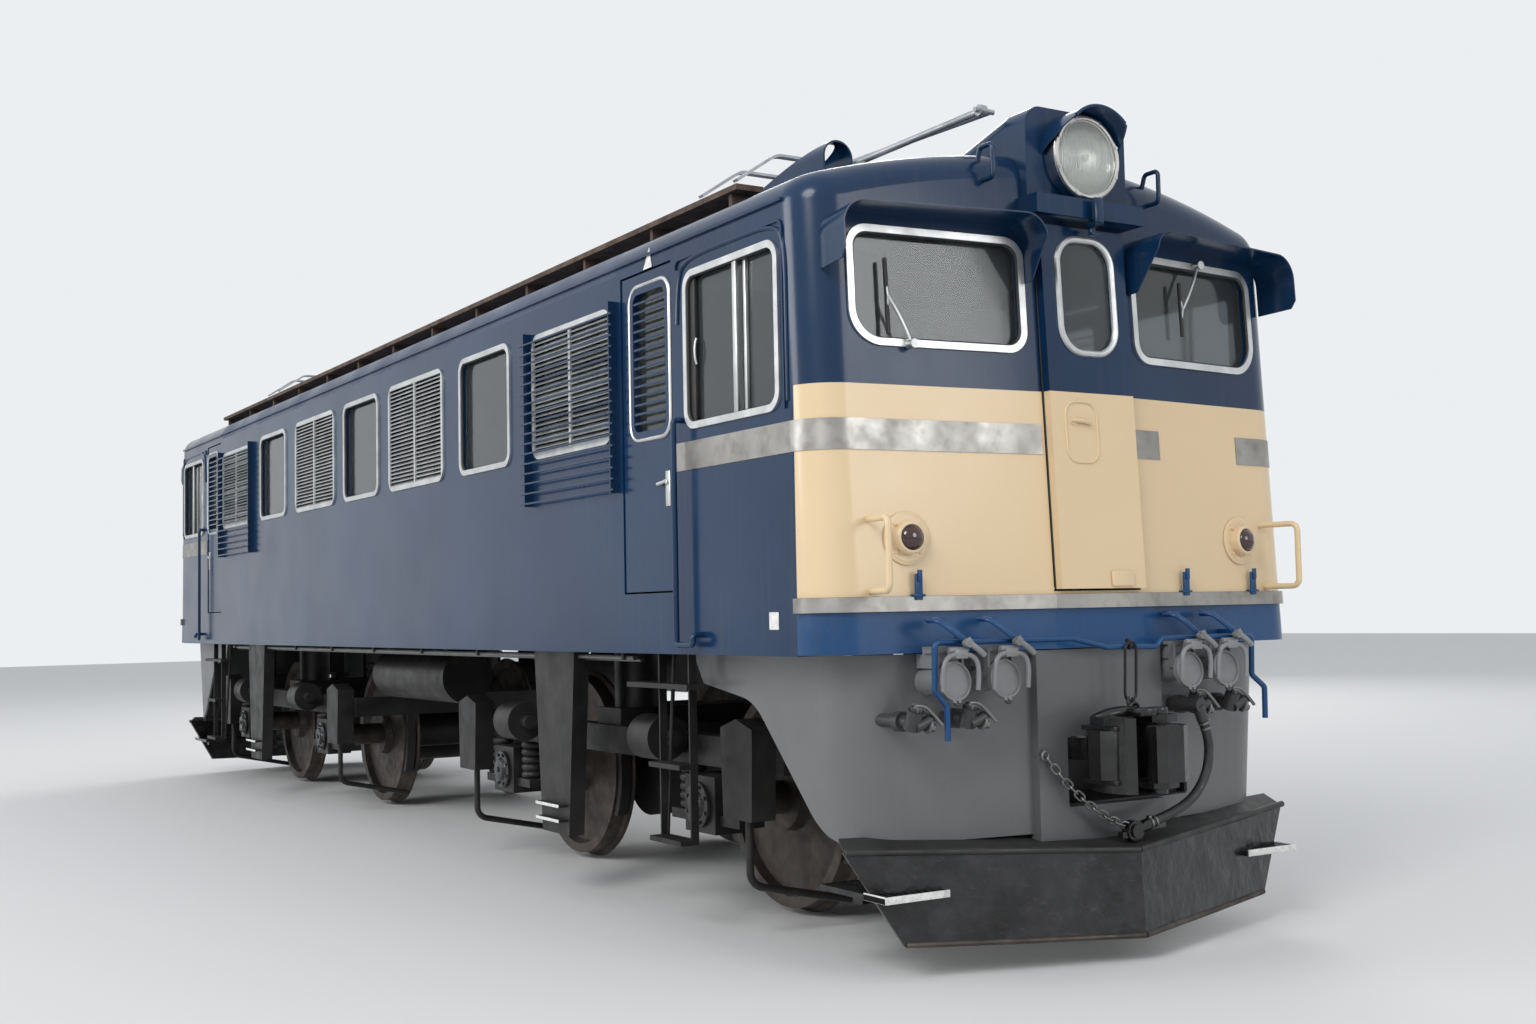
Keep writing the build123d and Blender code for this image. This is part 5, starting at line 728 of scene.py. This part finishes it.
# Lamp irons: the blue upright flats standing on the strip, each bent back into a foot.
irons = []
for y in (-0.960, 0.556, 1.057):
    x = NOSE_X - SWEEP * (abs(y) - NOSE_Y) + 0.012
    irons.append(block("iron", (x + 0.010, y, 1.622), (0.010, 0.036, 0.110)))
    irons.append(block("iron_foot", (x + 0.004, y, 1.586), (0.030, 0.060, 0.010)))
    irons.append(block("iron_tongue", (x + 0.020, y, 1.668), (0.012, 0.020, 0.050)))
settle(both_ends(joined(irons, "lamp_irons")), beam_blue, bevel=0.002)

# Socket clamps: each jumper lid has a grey yoke over it with a hinge block on top, hangs under
# a blue flat arm from the beam, and is held by a grey wing screw and a hinge eye at its foot.
SOCKET_YS = (-0.890, -0.622, 0.458, 0.690)
clamps, screws = [], []
for y in SOCKET_YS:
    arm = tube("arm", [(6.140, y - 0.045, 1.482), (6.190, y - 0.042, 1.484), (6.216, y - 0.026, 1.456),
                       (6.224, y + 0.020, 1.392), (6.224, y + 0.040, 1.366)], 0.010)
    arm.data.transform(Matrix.Translation((0, y, 0)) @ Matrix.Diagonal((1, 2.0, 1, 1))
                       @ Matrix.Translation((0, -y, 0)))
    clamps.append(arm)
    clamps.append(block("root", (6.135, y - 0.045, 1.482), (0.040, 0.070, 0.026)))
    yoke = [(6.232, y - 0.090, 1.190), (6.238, y - 0.094, 1.262), (6.238, y - 0.082, 1.318),
            (6.236, y - 0.040, 1.340), (6.236, y + 0.040, 1.340), (6.238, y + 0.082, 1.318),
            (6.238, y + 0.094, 1.262), (6.232, y + 0.090, 1.190)]
    screws.append(tube("yoke", yoke, 0.011))
    screws.append(block("hinge", (6.216, y, 1.340), (0.060, 0.064, 0.036)))
    screws.append(drum("pin", (6.222, y, 1.356), 0.013, 0.096, (math.radians(90), 0, 0), 16))
    screws.append(drum("screw", (6.240, y + 0.036, 1.385), 0.019, 0.034, (0, math.radians(90), 0), 16))
    for reach_y, drop in ((0.074, -0.052), (-0.010, 0.020)):
        wing = tube("wing", [(6.250, y + 0.036, 1.385), (6.256, y + 0.036 + reach_y * 0.5,
                                                       1.385 + drop * 0.4),
                             (6.254, y + 0.036 + reach_y, 1.385 + drop)], 0.013)
        screws.append(wing)
    screws.append(tube("eye", [(6.200, y - 0.016, 1.160), (6.210, y - 0.014, 1.130),
                               (6.210, y + 0.014, 1.130), (6.200, y + 0.016, 1.160)], 0.008))
settle(both_ends(joined(clamps, "socket_clamps")), beam_blue, bevel=0.002)
settle(both_ends(joined(screws, "socket_screws")), fittings, bevel=0.002)

# Air cock handles: a bent bar on each cock with its nut, and the ring and gland of its mouth.
steel = paint("dull_steel", (0.20, 0.20, 0.195), rough=0.38, metal=0.8, grain=7, grime=0.35,
              grime_colour=(0.05, 0.045, 0.04), bump=0.0008, fine=50)[0]
COCK_YS = (-1.088, -0.806, 0.508, 0.742)
cocks = []
for y in COCK_YS:
    cocks.append(drum("nut", (6.195, y, 1.122), 0.022, 0.024, (0, math.radians(25), 0), 6))
    cocks.append(tube("handle", [(6.190, y - 0.010, 1.134), (6.194, y + 0.030, 1.140),
                                 (6.194, y + 0.080, 1.100), (6.196, y + 0.125, 1.052)], 0.008))
    cocks.append(drum("ring", (6.184, y + 0.062, 1.050), 0.030, 0.012, (math.radians(70), 0, 0), 24))
    cocks.append(drum("gland", (6.184, y + 0.082, 1.043), 0.018, 0.024, (math.radians(70), 0, 0), 6))
settle(both_ends(joined(cocks, "cock_handles")), steel, bevel=0.002)

# Uncoupling link: a long closed loop of rod from the lever to the lock lifter, and the lifter.
link_loop = [(6.210 + 0.006 * math.sin(v * 9), 0.078 + u, 1.235 + v)
             for u, v in rounded_loop(0.066, 0.258, 0.032)]
parts = [tube("loop", link_loop, 0.0065, True, False)]
parts.append(tube("shackle", [(6.205, 0.060, 1.125), (6.215, 0.050, 1.085), (6.225, 0.070, 1.066),
                              (6.215, 0.092, 1.085), (6.208, 0.088, 1.120)], 0.008))
parts.append(tube("hook", [(6.192, 0.078, 1.346), (6.214, 0.078, 1.330), (6.210, 0.078, 1.368),
                           (6.190, 0.078, 1.372)], 0.009))
settle(both_ends(joined(parts, "uncoupling_links")), black)

# Gladhand chain: oval links turned a quarter each, from an eye bolt on the skirt to the
# coupling head at the end of the hose.
CHAIN_TOP = Vector((6.128, -0.350, 0.878))
CHAIN_LOW = Vector((6.214, 0.030, 0.560))
LINKS = 14
oval = tube("chain_link", [(u, v, 0) for u, v in rounded_loop(0.050, 0.030, 0.0145, 3)], 0.0052, True,
            False)
places = []
for i in range(LINKS):
    t = (i + 0.5) / LINKS
    at = CHAIN_TOP.lerp(CHAIN_LOW, t) - Vector((0, 0, 0.050 * 4 * t * (1 - t)))
    ahead = CHAIN_TOP.lerp(CHAIN_LOW, t + 0.01) - Vector((0, 0, 0.050 * 4 * (t + 0.01) * (0.99 - t)))
    spin = Matrix.Rotation(math.radians(90 * (i % 2) + 20), 4, "X")
    places.append(Matrix.Translation(at) @ (ahead - at).to_track_quat("X", "Z").to_matrix().to_4x4()
                  @ spin)
chain = repeated(oval, places)
eye = tube("eye", [(6.120, -0.352 + 0.018 * math.cos(math.radians(a)),
                    0.884 + 0.018 * math.sin(math.radians(a))) for a in range(0, 360, 30)], 0.006,
           True, False)
root = drum("root", (6.108, -0.352, 0.898), 0.017, 0.020, (0, math.radians(90), 0), 6)
settle(joined([chain, eye, root], "gladhand_chain"), steel)

# Coupler castings: ribs, guard horn and lock lifter on the head, and a worn face on the knuckle.
gloss = paint("coupler_black", (0.004, 0.004, 0.0042), (0.010, 0.010, 0.0105), rough=0.24, grain=5,
              grime=0.18, grime_colour=(0.045, 0.042, 0.038), bump=0.008, fine=16, coat=0.1)[0]
wear(gloss, "coupler_front", "coupler_rear", "knuckle_front", "knuckle_rear", "gladhand")
for end, turn in ENDS:
    cheek_plan = [(0.205, -0.190), (0.262, -0.232), (0.340, -0.236), (0.400, -0.205),
                  (0.408, -0.120), (0.330, -0.075), (0.215, -0.070)]
    cheek = sheet("cheek", [(6.0 + x, y) for x, y in cheek_plan], 0.210)
    cheek.data.transform(Matrix.Translation((0, 0, 0.890)))
    ribs = [
        cheek,
        block("rib_high", (6.300, -0.165, 1.004), (0.210, 0.090, 0.022)),
        block("rib_low", (6.300, -0.165, 0.776), (0.210, 0.090, 0.022)),
        block("rib_mid", (6.225, -0.060, 0.890), (0.050, 0.250, 0.250)),
        drum("lifter", (6.300, 0.050, 1.062), 0.070, 0.034, sides=40),
        drum("pin_head", (6.330, 0.115, 1.064), 0.044, 0.034, sides=32),
        drum("pin_foot", (6.330, 0.115, 0.720), 0.034, 0.026, sides=32),
        tube("lifter_eye", [(6.225, 0.078 + 0.026 * math.cos(math.radians(a)),
                             1.072 + 0.026 * math.sin(math.radians(a))) for a in range(0, 360, 30)],
             0.008, True, False),
        tube("horn", [(6.215, -0.150, 1.030), (6.250, -0.110, 1.058), (6.262, 0.010, 1.064),
                      (6.240, 0.090, 1.048)], 0.028),
    ]
    casting = joined(ribs, "coupler_casting_" + end)
    casting.data.transform(turn)
    settle(casting, gloss, "coupler_" + end, 0.014, 60)
    face_plan = [(6.494, -0.004), (6.497, 0.050), (6.488, 0.098), (6.462, 0.120), (6.430, 0.110),
                 (6.424, 0.020), (6.400, -0.018), (6.420, -0.048), (6.468, -0.040)]
    lip = sheet("lip", face_plan, 0.246)
    lip.data.transform(Matrix.Translation((0, 0, 0.890)))
    lips = [lip]
    face = joined(lips, "knuckle_face_" + end)
    face.data.transform(turn)
    settle(face, gloss, "knuckle_" + end, 0.012, 60)

# Plough steps: white-edged grating fronts, and the white nosings of the treads on the posts.
white = paint("edge_white", (0.72, 0.72, 0.70), rough=0.5, grain=30, grime=0.5,
              grime_colour=(0.22, 0.21, 0.20), bump=0.001, fine=90)[0]
BOGIE_X = 3.175
edges, nosings = [], []
for side in (-1, 1):
    edges.append(block("edge", (6.112, side * 1.045, 0.352), (0.008, 0.322, 0.030)))
    edges.append(block("edge", (6.035, side * 1.206, 0.352), (0.158, 0.008, 0.030)))
    for post in (-BOGIE_X, BOGIE_X):
        for z in (0.420, 0.500):
            nosings.append(block("nosing", (post, side * 1.386, z), (0.300, 0.006, 0.016)))
settle(both_ends(joined(edges, "plough_step_edges")), white, bevel=0.001)
settle(joined(nosings, "tread_nosings"), white, bevel=0.001)

# Plough flange and draft casting: a plate from the plough's top edge back under the skirt, a
# worn rolled lip along its foot, and the black casting round the coupler's slot.
FLANGE_Z = 0.470
FLANGE_HALF = 1.296
FLANGE_CLIMB = 0.060
FLANGE_BACK = 5.930
FLANGE_LIFT = 0.050
flanges, lips = [], []
for side in (-1, 1):
    top = [(6.306, 0.004), (5.950, FLANGE_HALF), (5.870, 1.270), (5.900, 0.004)]
    loop = [(x, side * y) for x, y in top]
    plate = sheet("flange", loop, 0.012)
    for vertex in plate.data.vertices:
        vertex.co.z += FLANGE_Z + FLANGE_CLIMB * abs(vertex.co.y) / FLANGE_HALF
        if vertex.co.x < FLANGE_BACK:
            vertex.co.z += FLANGE_LIFT
    flanges.append(plate)
    flanges.append(tube("roll", [(6.312, 0, 0.474), (6.135, side * 0.648, 0.506),
                                 (5.958, side * 1.296, 0.538)], 0.015, False, False))
    lips.append(tube("lip", [(6.332, side * 0.004, 0.112), (6.184, side * 0.530, 0.128),
                             (6.036, side * 1.056, 0.148)], 0.013, False, False))
settle(both_ends(joined(flanges, "plough_flanges")), rubber, bevel=0.002)
settle(both_ends(joined(lips, "plough_lips")), rolled)
casting = [
    block("shelf", (5.800, 0.185, 0.630), (0.420, 0.860, 0.050)),
    block("back", (5.610, -0.180, 0.800), (0.060, 0.140, 0.390)),
    block("back", (5.610, 0.360, 0.800), (0.060, 0.500, 0.390)),
    block("web", (5.790, 0.610, 0.720), (0.400, 0.020, 0.180)),
    block("web", (5.790, -0.250, 0.720), (0.400, 0.020, 0.180)),
    block("lug", (5.960, 0.500, 0.690), (0.060, 0.110, 0.080)),
]
settle(both_ends(joined(casting, "draft_castings")), black, bevel=0.006)

# Brake hose: one free rubber hose from the nipple on the skirt to the coupling head, with a
# steel band at each end.
hose_black = paint("hose_rubber", (0.013, 0.013, 0.0135), (0.026, 0.026, 0.027), rough=0.42,
                   grain=12, grime=0.3, grime_colour=(0.05, 0.048, 0.045), bump=0.001, fine=60)[0]
HOSE_X = 6.215
HOSE_RUN = [(0.508, 1.000), (0.538, 0.926), (0.542, 0.842), (0.519, 0.759), (0.468, 0.687),
            (0.395, 0.634), (0.312, 0.603), (0.228, 0.579), (0.146, 0.560)]
line = bpy.data.curves.new("hose", "CURVE")
line.dimensions = "3D"
run = line.splines.new("NURBS")
run.points.add(len(HOSE_RUN) - 1)
for point, (y, z) in zip(run.points, HOSE_RUN):
    point.co = (HOSE_X, y, z, 1)
run.order_u = 3
run.use_endpoint_u = True
line.resolution_u = 12
line.bevel_depth = 0.022
line.bevel_resolution = 6
line.use_fill_caps = True
line.materials.append(hose_black)
hose = bpy.data.objects.new("brake_hose_run", line)
bpy.context.scene.collection.objects.link(hose)
bands = []
for (y, z), (ahead_y, ahead_z) in ((HOSE_RUN[0], HOSE_RUN[1]), (HOSE_RUN[-1], HOSE_RUN[-2])):
    run_way = Vector((0, ahead_y - y, ahead_z - z)).normalized()
    turned = run_way.to_track_quat("Z", "X").to_matrix().to_4x4()
    for step in (0.014, 0.040):
        band = drum("band", (0, 0, 0), 0.0255, 0.010, sides=28)
        band.data.transform(Matrix.Translation(Vector((HOSE_X, y, z)) + run_way * step) @ turned)
        bands.append(band)
    screw = block("screw", (0.026, 0, 0), (0.016, 0.022, 0.014))
    screw.data.transform(Matrix.Translation(Vector((HOSE_X, y, z)) + run_way * 0.014) @ turned)
    bands.append(screw)
bands = settle(joined(bands, "hose_bands"), steel, bevel=0.001)
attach(hose, "body")
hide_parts("brake_hose")

# Cab side windows: two overlapped sliding sashes with silver bars, a dark jamb with its small
# handle behind them, and the blue drip strip over the frame.
CATCH = [(1.388, 2.690), (1.398, 2.710), (1.398, 2.790), (1.388, 2.810)]  # out, height
CATCH_X = 4.952
DRIP = [(4.790, 2.900), (4.800, 3.110), (4.880, 3.196), (5.280, 3.200), (5.680, 3.196),
        (5.756, 3.110), (5.758, 2.760), (5.758, 2.420)]  # along, height
sashes, jambs, drips = [], [], []
for end in (-1, 1):
    for side in (-1, 1):
        for x, wide, out in ((5.328, 0.034, 1.396), (5.392, 0.022, 1.380)):
            sashes.append(block("sash", (end * x, side * out, CAB_PANE_Z), (wide, 0.016, 0.690)))
        sashes.append(tube("catch", [(end * CATCH_X, side * out, z) for out, z in CATCH], 0.006))
        jambs.append(block("jamb", (end * 4.918, side * 1.383, CAB_PANE_Z), (0.054, 0.018, 0.680)))
        drips.append(tube("drip", [(end * x, side * WALL_Y, z) for x, z in DRIP], 0.011))
settle(joined(sashes, "cab_sashes"), silver, bevel=0.002)
settle(joined(jambs, "cab_jambs"), rubber, bevel=0.002)
settle(joined(drips, "cab_drip_strips"), blue)

# Crew door details: a bright bead and a pane behind the door's bars, and a turned handle on a
# plate at its free edge. They swing with the door.
CREW_DOORS = [("front_right", 1, -1), ("front_left", 1, 1), ("rear_right", -1, -1),
              ("rear_left", -1, 1)]
for name, end, side in CREW_DOORS:
    loop = rounded_loop(0.418, 0.768, 0.085)
    bead = tube("crew_bead_" + name, [(end * (4.500 + u), side * 1.397, 2.770 + v) for u, v in loop],
                0.011, True, False)
    settle(bead, silver, "crew_door_" + name)
    pane = block("crew_pane_" + name, (end * 4.500, side * 1.366, 2.770), (0.396, 0.005, 0.746))
    settle(pane, glass, "crew_door_" + name)
    plate = block("plate", (end * 4.665, side * 1.396, 2.130), (0.046, 0.006, 0.170))
    stem = drum("stem", (end * 4.665, side * 1.402, 2.160), 0.011, 0.016, (math.radians(90), 0, 0), 20)
    grip = tube("grip", [(end * 4.665, side * 1.410, 2.166), (end * 4.640, side * 1.412, 2.160),
                         (end * 4.580, side * 1.410, 2.156)], 0.009)
    handle = joined([plate, stem, grip], "crew_handle_" + name)
    settle(handle, silver, "crew_door_" + name, 0.002)

# Blank paint marks on the visible side: a white triangle above the front crew door, and a small
# white square low on the corner.
marks = [sheet("mark", [(-0.045, -0.045), (0.045, -0.045), (0.020, 0.055)], 0.002)]
upright = Matrix.Rotation(math.radians(90), 4, "X")
marks[0].data.transform(Matrix.Translation((4.500, -1.4035, 3.270)) @ upright)
square = sheet("mark", rounded_loop(0.075, 0.075, 0.004), 0.002)
square.data.transform(Matrix.Translation((5.610, -1.4005, 1.490)) @ upright)
settle(joined(marks + [square], "paint_marks"), white)

# Lamp bracket: the bent blue flat that stands in front of the headlamp's foot.
bracket = [
    block("stem", (6.175, 0.010, 3.300), (0.012, 0.052, 0.120)),
    block("shelf", (6.150, 0.010, 3.244), (0.062, 0.052, 0.012)),
    block("hook", (6.128, 0.010, 3.222), (0.014, 0.030, 0.044)),
    block("toe", (6.138, 0.010, 3.200), (0.030, 0.040, 0.012)),
]
settle(both_ends(joined(bracket, "lamp_brackets")), blue, bevel=0.003)

# Axle box covers: a turned lid with eight bolts and a grease plug on each axle box.
AXLE_X = 1.25
AXLE_Z = 0.588
lie = (math.radians(90), 0, 0)
for end_name, centre in (("front", BOGIE_X), ("rear", -BOGIE_X)):
    covers = []
    for side in (-1, 1):
        for x in (centre - AXLE_X, centre + AXLE_X):
            covers.append(drum("lid", (x, side * 1.128, AXLE_Z), 0.112, 0.028, lie, 48))
            covers.append(drum("dome", (x, side * 1.148, AXLE_Z), 0.078, 0.026, lie, 48,
                               0.060 if side < 0 else 0.078))
            covers.append(drum("plug", (x, side * 1.163, AXLE_Z), 0.018, 0.014, lie, 6))
            for k in range(8):
                a = math.radians(22.5 + 45 * k)
                covers.append(drum("bolt", (x + 0.094 * math.cos(a), side * 1.145,
                                            AXLE_Z + 0.094 * math.sin(a)), 0.011, 0.014, lie, 6))
    settle(joined(covers, "axle_box_covers_" + end_name), scuffed,
           "bogie_" + end_name, 0.002)

# Sill pipes: two air pipes along each side under the sill with their clips.
pipes, clips = [], []
for side in (-1, 1):
    for y, z, radius in ((1.300, 1.312, 0.014), (1.262, 1.300, 0.011)):
        pipes.append(tube("pipe", [(-4.100, side * y, z), (4.100, side * y, z)], radius, False, False))
    for x in range(-4, 5):
        clips.append(block("clip", (x, side * 1.284, 1.318), (0.030, 0.080, 0.036)))
settle(joined(pipes, "sill_pipes"), steel)
settle(joined(clips, "pipe_clips"), black, bevel=0.002)

# Pantograph springs and strips: coiled raising springs in their hooks on each base, and the dark
# contact strips on the two sliders of each head.
PANTOGRAPH_X = 4.300
SPRING_Z = 3.738
COIL_RADIUS = 0.026
COIL_STEPS = 120
HOOKS = [((0.530, SPRING_Z), (0.780, 3.712)), ((0.205, SPRING_Z), (0.300, SPRING_Z))]
coils = []
for centre in (-PANTOGRAPH_X, PANTOGRAPH_X):
    for y in (-0.240, 0.240):
        for hand in (-1, 1):
            turns = []
            for k in range(COIL_STEPS + 1):
                a = k * math.tau / 10
                turns.append((centre + hand * (0.300 + 0.230 * k / COIL_STEPS),
                              y + COIL_RADIUS * math.cos(a), SPRING_Z + COIL_RADIUS * math.sin(a)))
            coils.append(tube("coil", turns, 0.0055, False, False, 2))
            for hook in HOOKS:
                coils.append(tube("hook", [(centre + hand * x, y, z) for x, z in hook], 0.008,
                                  False, False))
settle(joined(coils, "pantograph_springs"), arms)
for name, centre in (("front", PANTOGRAPH_X), ("rear", -PANTOGRAPH_X)):
    strips = []
    for x in (centre - 0.180, centre + 0.180):
        for y in (-0.300, 0.300):
            strips.append(block("strip", (x, y, 3.894), (0.034, 0.560, 0.008)))
    settle(joined(strips, "contact_strips_" + name), black,
           "pantograph_" + name + "_head", 0.002)

# Roof hatch ribs: pressed ribs and lifting eyes on each hatch.
EYE = [(-0.040, 3.672), (-0.030, 3.730), (0.030, 3.730), (0.040, 3.672)]  # along, height
ribs = []
for centre, length in ((-2.05, 1.5), (0, 2.0), (2.05, 1.5)):
    for x in (centre - length * 0.3, centre, centre + length * 0.3):
        ribs.append(block("rib", (x, 0, 3.694), (0.050, 1.300, 0.022)))
    for x in (centre - length * 0.42, centre + length * 0.42):
        for y in (-0.55, 0.55):
            ribs.append(tube("eye", [(x + u, y, z) for u, z in EYE], 0.008))
settle(joined(ribs, "hatch_ribs"), roof_paint, bevel=0.004)
